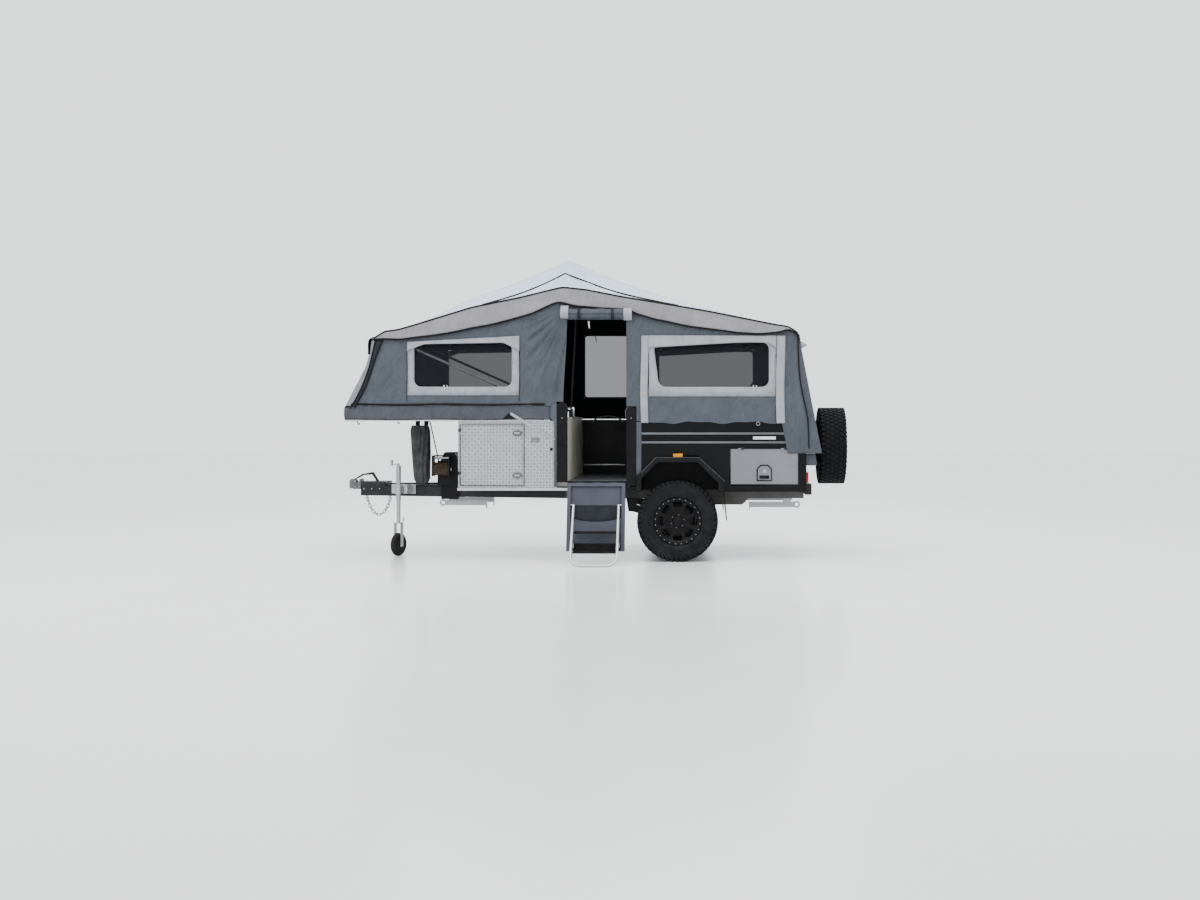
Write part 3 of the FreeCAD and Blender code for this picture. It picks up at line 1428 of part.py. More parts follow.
def main():
    os.makedirs("parts", exist_ok=True)
    make_drawbar()
    make_chassis()
    make_coupling()
    make_lever()
    make_chain()
    make_jockey()
    save("deck_straps", group([make_winch()] + make_bundle()))
    make_stabilisers()
    locker_hinges, toolbox_trim = make_toolbox()
    cabinet = make_aisle()
    entry_tabs = make_entry()
    bulkhead, hatch_hinges, strips = make_body()
    save("door_hinges", group([both_sides(group(locker_hinges + hatch_hinges)), group(entry_tabs)]))
    save("side_trim", both_sides(group(toolbox_trim + strips)))
    make_wheels()
    make_spare()
    make_lamps()
    make_bows()
    mattress = make_deck(make_tent())
    make_lounge(cabinet, bulkhead, mattress)


main()
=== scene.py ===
import json
import math
import bmesh
import bpy
from mathutils import Matrix, Vector, noise
from mathutils.bvhtree import BVHTree


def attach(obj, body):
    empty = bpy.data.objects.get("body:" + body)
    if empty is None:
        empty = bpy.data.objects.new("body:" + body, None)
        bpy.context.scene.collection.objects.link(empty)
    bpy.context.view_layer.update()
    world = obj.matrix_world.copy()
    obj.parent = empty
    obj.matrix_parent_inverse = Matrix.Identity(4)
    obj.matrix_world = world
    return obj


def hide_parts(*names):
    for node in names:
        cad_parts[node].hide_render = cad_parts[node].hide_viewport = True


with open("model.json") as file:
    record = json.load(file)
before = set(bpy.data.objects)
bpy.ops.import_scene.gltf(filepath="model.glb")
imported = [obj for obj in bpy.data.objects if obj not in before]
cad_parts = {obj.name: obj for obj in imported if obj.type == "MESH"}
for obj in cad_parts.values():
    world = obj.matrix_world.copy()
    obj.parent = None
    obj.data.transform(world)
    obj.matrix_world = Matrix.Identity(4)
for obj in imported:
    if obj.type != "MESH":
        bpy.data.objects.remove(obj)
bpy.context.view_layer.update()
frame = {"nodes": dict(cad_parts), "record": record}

# Forward-fold camper trailer with its tent up. Sizes are in millimetres and heights are above the
# floor; at() turns them into the row frame in metres. A box is (left, right, bottom, top) in a side's
# plane, and a line is a list of (x, height) points.

BALL_HEIGHT = 690.0
SIDES = ((-1, "near"), (1, "far"))
BODY_OUT = 901.0
CANVAS_OUT = 906.0
FLY_OUT = 922.0
FLY_START, FLY_END = 400.0, 4510.0
BED_FRONT = 136.0
PEAK_X, SEAM_Y = 2216.0, 450.0
RIDGE = ((400, 2185), (574, 2310), (986, 2500), (1255, 2628), (PEAK_X, 3006), (2900, 2722), (3334, 2585),
         (3886, 2444), (4220, 2362), (4420, 2299), (4510, 2215))
EDGE = ((400, 2149), (426, 2149), (529, 2215), (650, 2229), (793, 2270), (1255, 2412), (1366, 2446),
        (1837, 2542), (2234, 2640), (2464, 2615), (2820, 2546), (3266, 2473), (3621, 2412), (4029, 2331),
        (4295, 2278), (4420, 2260), (4510, 2191))
BAND = ((426, 2140), (455, 2145), (688, 2138), (1130, 2197), (1572, 2285), (1936, 2380), (2148, 2483),
        (2215, 2498), (2378, 2456), (2608, 2438), (2877, 2429), (2944, 2385), (3127, 2331), (3482, 2260),
        (3885, 2207), (4116, 2191), (4327, 2207), (4423, 2240), (4500, 2187))
FRONT_HEAD, REAR_HEAD = (402, 2149), (4508, 2191)
FRONT_SLOPE = ((138, 1480), (163, 1528), (258, 1711), (342, 1874), (382, 2000), FRONT_HEAD)
REAR_SLOPE = ((4672, 1340), REAR_HEAD)
WINDOW_FRONT = (812.0, 1750.0, 1685.0, 2110.0)
WINDOW_REAR = (3112.0, 4221.0, 1684.0, 2112.0)
FAR_REAR = (3117.0, 4141.0, 1728.0, 2130.0)
WINDOW_FAR = (2306.0, 2765.0, 1613.0, 2279.0)
PATCH_FRONT = (745.0, 1821.0, 1603.0, 2174.0)
PATCH_REAR = (2990.0, 4374.0, 1593.0, 2176.0)
PATCH_MIDDLE = (2240.0, 2830.0, 1550.0, 2345.0)
DOORWAY = (2280, 2850, 1000, 2330)
DOOR_TOP = 724
WHEEL_PLACE, SPARE_PLACE = (3343, 930, 390), (5037, 0, 1100)
UP = Vector((0, 0, 1))


def at(x, y, z):
    """A point in the row frame from millimetres, with its height above the floor."""
    return Vector((x, y, z - BALL_HEIGHT)) / 1000


def millimetres(point):
    """The x and height in millimetres of a point of the row frame."""
    return point.x * 1000, point.z * 1000 + BALL_HEIGHT


# Camera and light

def make_camera():
    data = bpy.data.cameras.new("camera")
    data.lens = 40.62
    data.sensor_width = 36
    data.shift_x = -97 / 1200
    data.shift_y = -33 / 1200
    camera = bpy.data.objects.new("camera", data)
    bpy.context.collection.objects.link(camera)
    camera.location = at(3530, -13930, 1394)
    camera.rotation_euler = (math.radians(90), 0, 0)
    bpy.context.scene.camera = camera


def make_lights():
    world = bpy.data.worlds.new("studio")
    world.use_nodes = True
    background = world.node_tree.nodes["Background"]
    background.inputs["Color"].default_value = (0.93, 0.95, 0.97, 1)
    background.inputs["Strength"].default_value = 1.95
    bpy.context.scene.world = world
    for name, place, size, power in (("overhead", (2400, -1500, 7200), 9, 620),
                                     ("left", (-4200, -6500, 4600), 5, 150),
                                     ("right", (8200, -7500, 4200), 5, 70),
                                     ("behind", (2400, 6500, 5200), 7, 200)):
        data = bpy.data.lights.new(name, "AREA")
        data.size = size
        data.energy = power
        light = bpy.data.objects.new(name, data)
        light.location = at(*place)
        aim = at(2400, 0, 1200) - light.location
        light.rotation_euler = aim.to_track_quat("-Z", "Y").to_euler()
        bpy.context.collection.objects.link(light)


# Nodes and shared effects

def node(tree, kind, inputs=None, **settings):
    """A new shader node with its settings, and its inputs given as values or as sockets to join."""
    made = tree.nodes.new("ShaderNode" + kind)
    for key, value in settings.items():
        setattr(made, key, value)
    for key, value in (inputs or {}).items():
        if isinstance(value, bpy.types.NodeSocket):
            tree.links.new(value, made.inputs[key])
        else:
            made.inputs[key].default_value = value
    return made


def maths(tree, operation, *values):
    return node(tree, "Math", dict(enumerate(values)), operation=operation).outputs[0]


def remap(tree, value, low, high, start=0.0, end=1.0, **settings):
    """A value between low and high brought to between start and end."""
    return node(tree, "MapRange", {0: value, 1: low, 2: high, 3: start, 4: end}, **settings).outputs[0]


def clouds(tree, vector, scale, detail, roughness=0.5, distortion=0.0):
    return node(tree, "TexNoise", {"Vector": vector, "Scale": scale, "Detail": detail,
                                   "Roughness": roughness, "Distortion": distortion}).outputs[0]


def place_axes(tree):
    """The three Object coordinates as separate sockets, and the coordinates themselves."""
    coordinates = node(tree, "TexCoord").outputs["Object"]
    axes = node(tree, "SeparateXYZ", {0: coordinates}).outputs
    return axes[0], axes[1], axes[2], coordinates


def mottle(tree, given):
    """Soft cloudy change of tone."""
    scale = maths(tree, "DIVIDE", 1.0, given["Size"])
    return remap(tree, clouds(tree, place_axes(tree)[3], scale, 4.0, 0.55), 0.35, 0.65)


def weave(tree, given):
    """Plain weave, threads over and under."""
    x, y, z = place_axes(tree)[:3]
    turn = maths(tree, "DIVIDE", math.tau, given["Pitch"])
    threads = [maths(tree, "SINE", maths(tree, "MULTIPLY", maths(tree, "MULTIPLY_ADD", y, 0.7, way), turn))
               for way in (x, z)]
    return maths(tree, "MULTIPLY_ADD", maths(tree, "MULTIPLY", *threads), 0.5, 0.5)


def peel(tree, given):
    """Fine orange peel of sprayed or moulded surfaces."""
    return clouds(tree, place_axes(tree)[3], maths(tree, "DIVIDE", 1.0, given["Pitch"]), 2.0)


def dust(tree, given):
    """Dust that lies on upward faces and thins out up the sides."""
    z, coordinates = place_axes(tree)[2:]
    low = remap(tree, z, 0.3, -0.69)
    facing = node(tree, "SeparateXYZ", {0: node(tree, "NewGeometry").outputs["Normal"]}).outputs[2]
    speck = remap(tree, clouds(tree, coordinates, 9.0, 5.0, 0.65), 0.42, 0.72)
    both = maths(tree, "MULTIPLY_ADD", maths(tree, "MAXIMUM", facing, 0.0), 0.6, low)
    return maths(tree, "MULTIPLY", maths(tree, "MULTIPLY", both, speck), given["Amount"])


def bars(tree, given):
    """Raised bars of patterned sheet, turned one way and the other in neighbouring cells."""
    x, y, z = place_axes(tree)[:3]
    total = 0.0
    for shift, turn in ((0.0, 1.0), (0.5, -1.0)):
        across = maths(tree, "DIVIDE", maths(tree, "ADD", x, y), given["Pitch"])
        along = maths(tree, "DIVIDE", z, given["Pitch"])
        for half in (0.0, 0.5):
            u, v = (maths(tree, "SUBTRACT", maths(tree, "FRACT", maths(tree, "ADD", value, offset)), 0.5)
                    for value, offset in ((across, shift + half), (along, half)))
            oval = [maths(tree, "POWER", maths(tree, "ABSOLUTE", maths(
                tree, "MULTIPLY", maths(tree, "MULTIPLY_ADD", v, slant, u), squeeze)), 2.0)
                for slant, squeeze in ((turn, 1.25), (-turn, 4.2))]
            height = remap(tree, maths(tree, "ADD", *oval), 0.34, 0.16, interpolation_type="SMOOTHSTEP")
            total = maths(tree, "MAXIMUM", total, height)
    return total


def creases(tree, given):
    """Slanting creases of stretched cloth, sharper where two of them meet."""
    scale = maths(tree, "DIVIDE", 1.0, given["Size"])
    x, y, z, coordinates = place_axes(tree)
    level = maths(tree, "ADD", x, y)
    across, along = (maths(tree, "MULTIPLY_ADD", level, share, maths(tree, "MULTIPLY", z, rise))
                     for share, rise in ((2.6, -1.1), (0.35, 0.75)))
    slanted = node(tree, "CombineXYZ", {0: across, 1: along, 2: y}).outputs[0]
    first = clouds(tree, slanted, scale, 3.0, 0.5, 0.6)
    second = clouds(tree, coordinates, maths(tree, "MULTIPLY", scale, 0.7), 2.0)
    ridged = maths(tree, "ABSOLUTE", maths(tree, "MULTIPLY_ADD", first, 3.6, -1.8))
    sharp = remap(tree, maths(tree, "SUBTRACT", 1.0, ridged), -0.2, 1.0)
    return maths(tree, "MULTIPLY_ADD", sharp, 0.55, maths(tree, "MULTIPLY", second, 0.55))


def ribs(tree, given):
    """Parallel ribs across a covering."""
    turn = maths(tree, "DIVIDE", math.tau, given["Pitch"])
    wave = maths(tree, "SINE", maths(tree, "MULTIPLY", place_axes(tree)[0], turn))
    return maths(tree, "MULTIPLY_ADD", wave, 0.5, 0.5)


def effect(build, given, gives):
    """A node group with one float input and one output, filled by the function that it is named after."""
    tree = bpy.data.node_groups.new(build.__name__, "ShaderNodeTree")
    tree.interface.new_socket(given, in_out="INPUT", socket_type="NodeSocketFloat")
    tree.interface.new_socket(gives, in_out="OUTPUT", socket_type="NodeSocketFloat")
    made = build(tree, tree.nodes.new("NodeGroupInput").outputs)
    tree.links.new(made, tree.nodes.new("NodeGroupOutput").inputs[gives])
    return tree


EFFECTS = {build.__name__: effect(build, given, gives) for build, given, gives in (
    (mottle, "Size", "Tone"), (weave, "Pitch", "Height"), (peel, "Pitch", "Height"),
    (dust, "Amount", "Mask"), (bars, "Pitch", "Height"), (ribs, "Pitch", "Height"),
    (creases, "Size", "Height"))}


def use(tree, name, value):
    """A shared effect placed in a material with its own value."""
    made = tree.nodes.new("ShaderNodeGroup")
    made.node_tree = EFFECTS[name]
    made.inputs[0].default_value = value
    return made.outputs[0]


# Materials

MATERIALS = {}
DULL, SATIN = 0.10, 0.18
PEEL, FINE, WEAVE = ("peel", 0.006), ("peel", 0.003), ("weave", 0.003)


def finish(name, light, dark, roughness, relief=None, bump=0.0, size=0.25, shine=0.5, metallic=0.0,
           dust=0.0, depth=0.001, rough_change=0.06, relief_shade=0.0, creases=0.0, alpha=1.0):
    """A Principled material between two tones, with creases that carry painted shade, a fine relief with
    painted shade between its raised parts where asked, and dust low down.
    """
    material = bpy.data.materials.new(name)
    material.use_nodes = True
    tree = material.node_tree
    shader = tree.nodes["Principled BSDF"]
    tone = use(tree, "mottle", size)
    colour = node(tree, "MixRGB", {0: tone, 1: (*dark, 1), 2: (*light, 1)}).outputs[0]
    normal = {}
    if relief:
        raised = use(tree, *relief)
    # Painted shade: the colour between raised relief is made darker, as if the raised parts shaded it.
    if relief_shade:
        painted_relief_shade = tuple(value * (1 - relief_shade) for value in dark)
        colour = node(tree, "MixRGB", {0: raised, 1: (*painted_relief_shade, 1), 2: colour}).outputs[0]
    if creases:
        pressed = use(tree, "creases", 0.16)
        # Painted shade: besides their bump, the creases darken the colour as if shade lay in them.
        painted_crease_shade = maths(tree, "MULTIPLY_ADD", pressed, 0.42, 0.76)
        colour = node(tree, "VectorMath", {0: colour, "Scale": painted_crease_shade}, operation="SCALE").outputs[0]
        folded = node(tree, "Bump", {"Strength": creases, "Distance": 0.030, "Height": pressed})
        normal = {"Normal": folded.outputs[0]}
    if relief:
        fine = node(tree, "Bump", {"Strength": bump, "Distance": depth, "Height": raised, **normal})
        normal = {"Normal": fine.outputs[0]}
    if dust:
        mask = use(tree, "dust", dust)
        colour = node(tree, "MixRGB", {0: mask, 1: colour, 2: (0.20, 0.19, 0.175, 1)}).outputs[0]
    low, high = max(roughness - rough_change, 0.02), min(roughness + rough_change, 1.0)
    wired = {"Base Color": colour, "Roughness": remap(tree, tone, 0.0, 1.0, low, high), **normal}
    for label, socket in wired.items():
        tree.links.new(socket, shader.inputs[label])
    for label, value in (("Metallic", metallic), ("Specular IOR Level", shine), ("Alpha", alpha)):
        shader.inputs[label].default_value = value
    MATERIALS[name] = material


def make_materials():
    finish("drawbar_black", (0.014, 0.014, 0.0145), (0.008, 0.008, 0.0085), 0.45, PEEL, 0.2, size=0.2,
           shine=SATIN, dust=0.1)
    finish("chassis_brown", (0.0884, 0.0832, 0.078), (0.0572, 0.0546, 0.052), 0.5, PEEL, 0.2, size=0.2,
           shine=SATIN, dust=0.12)
    finish("zinc", (0.3708, 0.3779, 0.385), (0.2852, 0.2923, 0.2995), 0.36, PEEL, 0.06, size=0.1,
           metallic=0.85)
    finish("body_black", (0.0042, 0.0044, 0.005), (0.0028, 0.0029, 0.0033), 0.3, PEEL, 0.05, size=0.4,
           shine=DULL, dust=0.03, rough_change=0.05)
    finish("hatch_grey", (0.1462, 0.153, 0.17), (0.1275, 0.1334, 0.1496), 0.34, PEEL, 0.06, size=0.3,
           rough_change=0.05)
    finish("door_slate", (0.0595, 0.0646, 0.0833), (0.0467, 0.051, 0.0663), 0.4, PEEL, 0.08, size=0.3,
           shine=SATIN, rough_change=0.05)
    # The darker flat between the raised bars is painted shade that makes the pattern show.
    finish("checker_plate", (0.6, 0.61, 0.63), (0.47, 0.48, 0.5), 0.34, ("bars", 0.06), 1, size=0.3,
           metallic=0.65, depth=0.005, relief_shade=0.42)
    finish("edge_aluminium", (0.5, 0.5, 0.51), (0.4, 0.4, 0.42), 0.38, size=0.15, metallic=0.7)
    finish("tube_aluminium", (0.6, 0.6, 0.61), (0.5, 0.5, 0.51), 0.3, size=0.2, metallic=0.8)
    finish("frame_tube", (0.1, 0.1, 0.105), (0.07, 0.07, 0.074), 0.4, size=0.2, metallic=0.5)
    finish("moulding_grey", (0.105, 0.11, 0.125), (0.085, 0.089, 0.102), 0.45, PEEL, 0.1, size=0.2,
           shine=SATIN)
    finish("black_plastic", (0.0062, 0.0062, 0.0068), (0.0035, 0.0035, 0.004), 0.5, FINE, 0.3, size=0.1,
           shine=DULL, dust=0.05)
    finish("flare_black", (0.008, 0.0084, 0.0095), (0.005, 0.0053, 0.0062), 0.5, FINE, 0.25, size=0.15,
           shine=DULL, dust=0.03)
    finish("cream_panel", (0.594, 0.558, 0.486), (0.504, 0.477, 0.414), 0.45, PEEL, 0.06, size=0.4)
    finish("floor_grey", (0.1, 0.1025, 0.11), (0.07, 0.0725, 0.0775), 0.6, ("ribs", 0.01), 0.3, size=0.2,
           shine=SATIN, depth=0.0015)
    finish("wheel_black", (0.005, 0.005, 0.0055), (0.0028, 0.0028, 0.0032), 0.36, PEEL, 0.1, size=0.1,
           shine=DULL, dust=0.03)
    finish("tyre_rubber", (0.009, 0.0095, 0.011), (0.0055, 0.006, 0.0072), 0.75, FINE, 0.3, size=0.12,
           shine=DULL, dust=0.07)
    finish("jockey_rubber", (0.01, 0.01, 0.0105), (0.006, 0.006, 0.0065), 0.65, FINE, 0.3, size=0.1,
           shine=DULL, dust=0.1)
    finish("canvas", (0.0626, 0.0705, 0.0827), (0.0522, 0.0592, 0.0705), 0.85, WEAVE, 0.35, size=0.2,
           shine=DULL, creases=0.55)
    finish("canvas_dark", (0.02, 0.022, 0.027), (0.013, 0.015, 0.018), 0.85, WEAVE, 0.3, size=0.1,
           shine=DULL, creases=0.3)
    # Painted shade for the inner sides of the tent's walls.
    finish("inner_painted_shade", (0.0085, 0.009, 0.011), (0.0055, 0.006, 0.0075), 0.9, WEAVE, 0.2, size=0.2,
           shine=DULL)
    finish("patch_grey", (0.2657, 0.2731, 0.2989), (0.2214, 0.2288, 0.2509), 0.8, WEAVE, 0.3, size=0.12,
           shine=SATIN, creases=0.25)
    finish("valance_grey", (0.213, 0.2075, 0.2152), (0.1742, 0.1704, 0.1773), 0.8, WEAVE, 0.3, size=0.3,
           shine=SATIN, creases=0.3)
    finish("fly_cloth", (0.3966, 0.4747, 0.5708), (0.3279, 0.401, 0.4886), 0.55, WEAVE, 0.2, size=0.35,
           creases=0.35)
    finish("skirt_cloth", (0.056, 0.0616, 0.0712), (0.0432, 0.048, 0.056), 0.7, WEAVE, 0.3, size=0.15,
           shine=DULL, creases=0.45)
    finish("screen", (0.01, 0.011, 0.015), (0.008, 0.009, 0.012), 0.7, shine=DULL, alpha=0.64)
    finish("far_screen", (0.01, 0.011, 0.015), (0.008, 0.009, 0.012), 0.7, shine=DULL, alpha=0.82)
    finish("strip_grey", (0.18, 0.1872, 0.204), (0.144, 0.15, 0.1644), 0.8, WEAVE, 0.3, size=0.12,
           shine=SATIN, creases=0.25)
    finish("cast_grey", (0.12, 0.12, 0.122), (0.08, 0.08, 0.082), 0.5, PEEL, 0.2, size=0.06, metallic=0.5)
    # Painted highlight along the arch flares' top edges.
    finish("flare_highlight_grey", (0.045, 0.046, 0.05), (0.03, 0.031, 0.034), 0.45, size=0.1, shine=SATIN)
    finish("cushion_cloth", (0.16, 0.157, 0.15), (0.125, 0.122, 0.117), 0.9, ("weave", 0.005), 0.5, size=0.15)
    finish("mattress_cloth", (0.36, 0.36, 0.355), (0.31, 0.31, 0.305), 0.9, ("weave", 0.005), 0.4, size=0.2)
    finish("bundle_cloth", (0.06, 0.0612, 0.0624), (0.0288, 0.03, 0.0312), 0.7, WEAVE, 0.4, size=0.1,
           shine=DULL, creases=0.6)
    finish("webbing", (0.0085, 0.0085, 0.0095), (0.005, 0.005, 0.0058), 0.75, ("weave", 0.004), 0.5,
           size=0.1, shine=DULL)
    finish("piping", (0.007, 0.007, 0.008), (0.0045, 0.0045, 0.0052), 0.6, size=0.1, shine=DULL)
    finish("rope_brown", (0.075, 0.055, 0.038), (0.045, 0.033, 0.022), 0.85, FINE, 0.5, size=0.03, shine=DULL)
    finish("amber", (0.64, 0.25, 0.001), (0.54, 0.2, 0.001), 0.25, ("ribs", 0.006), 0.3, size=0.05,
           shine=SATIN)
    finish("clear_lens", (0.62, 0.63, 0.65), (0.52, 0.53, 0.55), 0.2, ("ribs", 0.006), 0.3, size=0.05)
    finish("red_lens", (0.36, 0.006, 0.008), (0.28, 0.005, 0.006), 0.2, ("ribs", 0.006), 0.3, size=0.05,
           shine=SATIN)
    finish("white_plastic", (0.6, 0.6, 0.59), (0.52, 0.52, 0.51), 0.4, size=0.05)
    finish("silver_paint", (0.32, 0.328, 0.344), (0.264, 0.272, 0.288), 0.35, PEEL, 0.06, size=0.12,
           metallic=0.4)
    finish("studio_floor", (0.92, 0.925, 0.93), (0.9, 0.905, 0.91), 0.22, size=3, rough_change=0.03)


# Making pieces

def shade(mesh, angle=32):
    """Smooth shading, with edges sharper than an angle kept crisp."""
    limit = math.radians(angle)
    bm = bmesh.new()
    bm.from_mesh(mesh)
    for face in bm.faces:
        face.smooth = True
    for edge in bm.edges:
        edge.smooth = not (edge.is_manifold and edge.calc_face_angle(0) > limit)
    bm.to_mesh(mesh)
    bm.free()


def riding(name, mesh, body):
    """A mesh as an object of the scene that rides on a body."""
    obj = bpy.data.objects.new(name, mesh)
    bpy.context.collection.objects.link(obj)
    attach(obj, body)
    return obj


def piece(name, bm, material, body="trailer", angle=32, outward=True):
    """A finished bmesh as a piece of one material."""
    if outward:
        bmesh.ops.recalc_face_normals(bm, faces=bm.faces)
    mesh = bpy.data.meshes.new(name)
    bm.to_mesh(mesh)
    bm.free()
    shade(mesh, angle)
    mesh.materials.append(MATERIALS[material])
    return riding(name, mesh, body)


def body_with(node_name):
    """The body that a CAD node belongs to."""
    for body, names in frame["record"]["behaviour"]["bodies"].items():
        if node_name in names:
            return body
    return "trailer"


def modifier(obj, kind, **settings):
    made = obj.modifiers.new(kind.lower(), kind)
    for key, value in settings.items():
        setattr(made, key, value)
    return made


def applied(obj):
    """The object's mesh as its modifiers leave it, with none of them kept."""
    graph = bpy.context.evaluated_depsgraph_get()
    mesh = bpy.data.meshes.new_from_object(obj.evaluated_get(graph))
    obj.modifiers.clear()
    obj.data = mesh


def eased(obj, width=1.5, segments=2):
    """Rounded edges on a rigid piece."""
    modifier(obj, "BEVEL", width=width / 1000, segments=segments, limit_method="ANGLE",
             angle_limit=math.radians(35), harden_normals=True, miter_outer="MITER_ARC")


def merged(node_name):
    """A copy of a CAD node's mesh with its doubled points merged."""
    bm = bmesh.new()
    bm.from_mesh(frame["nodes"][node_name].data)
    bmesh.ops.remove_doubles(bm, verts=bm.verts, dist=0.00001)
    return bm


def dressed(node_name, material, ease=1.5):
    """A merged copy of a rigid CAD node with eased edges, shown in its place."""
    bm = merged(node_name)
    bmesh.ops.dissolve_limit(bm, angle_limit=math.radians(0.5), verts=bm.verts, edges=bm.edges)
    obj = piece(node_name + "_dressed", bm, material, body_with(node_name), outward=False)
    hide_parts(node_name)
    if ease:
        eased(obj, ease)
    return obj


def recoloured(obj, choose, *materials):
    """More materials on a piece, with the slot of each face chosen from its centre and normal."""
    for material in materials:
        obj.data.materials.append(MATERIALS[material])
    for face in obj.data.polygons:
        face.material_index = int(choose(face.center, face.normal))


def block(bm, x0, x1, y0, y1, z0, z1):
    """A box in a bmesh between two corners in millimetres."""
    size = Vector((x1 - x0, y1 - y0, z1 - z0)) / 1000
    move = Matrix.Translation(at((x0 + x1) / 2, (y0 + y1) / 2, (z0 + z1) / 2))
    bmesh.ops.create_cube(bm, size=1, matrix=move @ Matrix.Diagonal((*size, 1)))


def bar(bm, start, end, radius, sides=16, end_radius=None):
    """A round bar in a bmesh between two points of the row frame."""
    line = end - start
    place = Matrix.Translation((start + end) / 2) @ line.to_track_quat("Z", "Y").to_matrix().to_4x4()
    bmesh.ops.create_cone(bm, cap_ends=True, segments=sides, radius1=radius / 1000,
                          radius2=(radius if end_radius is None else end_radius) / 1000,
                          depth=line.length, matrix=place)


def rounded(bm, radius, segments=2):
    """All edges of a bmesh rounded off."""
    bmesh.ops.bevel(bm, geom=bm.edges[:], offset=radius / 1000, segments=segments, profile=0.5,
                    affect="EDGES", material=-1)


def blocks(name, boxes, radius, material, body="trailer", segments=2):
    """Boxes with rounded edges as one piece."""
    bm = bmesh.new()
    for box in boxes:
        block(bm, *box)
    rounded(bm, radius, segments)
    piece(name, bm, material, body)


def stud(name, start, end, radius, end_radius, material, body="trailer", sides=20, ease=(1.5,)):
    """A short tapered bar with eased edges as a piece."""
    bm = bmesh.new()
    bar(bm, start, end, radius, sides, end_radius)
    eased(piece(name, bm, material, body), *ease)


def slab(points, way):
    """A bmesh with the face between points drawn out by a vector, and the faces that moved."""
    bm = bmesh.new()
    face = bm.faces.new([bm.verts.new(point) for point in points])
    made = bmesh.ops.extrude_face_region(bm, geom=[face])["geom"]
    bmesh.ops.translate(bm, verts=[item for item in made if isinstance(item, bmesh.types.BMVert)], vec=way)
    return bm, [item for item in made if isinstance(item, bmesh.types.BMFace)]


def ring(bm, profile, centre, axis, count=96):
    """Closed ring turned from a profile of (radius, distance along the axis) pairs."""
    verts = [bm.verts.new(centre + UP * (radius / 1000) + axis * (along / 1000)) for radius, along in profile]
    edges = [bm.edges.new(pair) for pair in zip(verts, verts[1:] + verts[:1])]
    bmesh.ops.spin(bm, geom=verts + edges, cent=centre, axis=axis, angle=math.tau, steps=count,
                   use_merge=True)


def turned(name, profile, centre, axis, material, body="trailer", count=96):
    """A closed ring as a piece."""
    bm = bmesh.new()
    ring(bm, profile, centre, axis, count)
    piece(name, bm, material, body)


def repeated(bm, centre, axis, count):
    """Copies of what is in a bmesh, evenly round an axis."""
    step = math.tau / count
    bmesh.ops.spin(bm, geom=bm.verts[:] + bm.edges[:] + bm.faces[:], cent=centre, axis=axis,
                   angle=math.tau - step, steps=count - 1, use_duplicate=True)


def steps(count):
    """Shares from 0 to 1, in a number of even steps."""
    return [step / count for step in range(count + 1)]


def circle(count, radius, tall=None):
    """Points evenly round a circle or an oval."""
    return [(radius * math.cos(math.tau * step / count), (tall or radius) * math.sin(math.tau * step / count))
            for step in range(count)]


def on_side(line, y):
    """A line of (x, height) points as points of the row frame at one y."""
    return [at(x, y, z) for x, z in line]


def grown(box, by):
    left, right, bottom, top = box
    return left - by, right + by, bottom - by, top + by


def box_corners(box):
    left, right, bottom, top = box
    return (left, bottom), (right, bottom), (right, top), (left, top)


def closed(line):
    return *line, line[0]


def line_between(line, x):
    """Second value on a broken line for a first value, held level beyond its ends."""
    if x <= line[0][0]:
        return line[0][1]
    for (a, low), (b, high) in zip(line, line[1:]):
        if x <= b:
            return low + (high - low) * (x - a) / (b - a)
    return line[-1][1]


def x_at(line, z):
    """The x at which a rising line of (x, height) points has a height."""
    return line_between([(height, x) for x, height in line], z)


def soft_step(value, start, end):
    """0 before the start and 1 after the end, turning smoothly between them."""
    share = min(max((value - start) / (end - start), 0), 1)
    return share * share * (3 - 2 * share)


def tube_along(name, points, radius, material, body="trailer", straight=False):
    """A round cord or piping through points, as a mesh tube."""
    curve = bpy.data.curves.new(name, "CURVE")
    curve.dimensions = "3D"
    curve.bevel_depth = radius / 1000
    curve.bevel_resolution = 2
    curve.use_fill_caps = True
    curve.resolution_u = 3
    spline = curve.splines.new("POLY" if straight else "NURBS")
    spline.points.add(len(points) - 1)
    for target, point in zip(spline.points, points):
        target.co = (*point, 1)
    if not straight:
        spline.order_u = 3
        spline.use_endpoint_u = True
    holder = bpy.data.objects.new(name + "_line", curve)
    bpy.context.collection.objects.link(holder)
    bpy.context.view_layer.update()
    mesh = bpy.data.meshes.new_from_object(holder.evaluated_get(bpy.context.evaluated_depsgraph_get()))
    bpy.data.objects.remove(holder)
    mesh.name = name
    mesh.materials.clear()
    mesh.materials.append(MATERIALS[material])
    shade(mesh, 60)
    return riding(name, mesh, body)


# Tent: fly roof, canvas walls, windows and skirts

def roof_edge(x):
    """Height of the fly's long edge."""
    return line_between(EDGE, x)


def roof_ridge(x):
    """Height of the fly's ridge, sagging a little between the bows."""
    height = line_between(RIDGE, x)
    for start, end, sag in ((1255, PEAK_X, 24), (PEAK_X, 2900, 14)):
        if start < x < end:
            share = (x - start) / (end - start)
            height -= sag * 4 * share * (1 - share)
    return height


def roof_height(x, y):
    """The fly between its edge and its ridge, with soft wrinkles that run to the seam's point."""
    share = 1 - abs(y) / FLY_OUT
    edge, ridge = roof_edge(x), roof_ridge(x)
    bow = math.sin(math.pi * share)
    hollow = 0.025 * (ridge - edge) * bow
    across, along = SEAM_Y - abs(y), x - PEAK_X
    turn, reach = math.atan2(across, along), math.hypot(across, along)
    ripple = 3.4 * math.sin(turn * 23 + reach / 260) * soft_step(reach, 30, 300)
    ripple += 3.2 * noise.noise(Vector((x / 120, y / 120, 4.0)))
    return edge + (ridge - edge) * share - hollow + ripple * bow


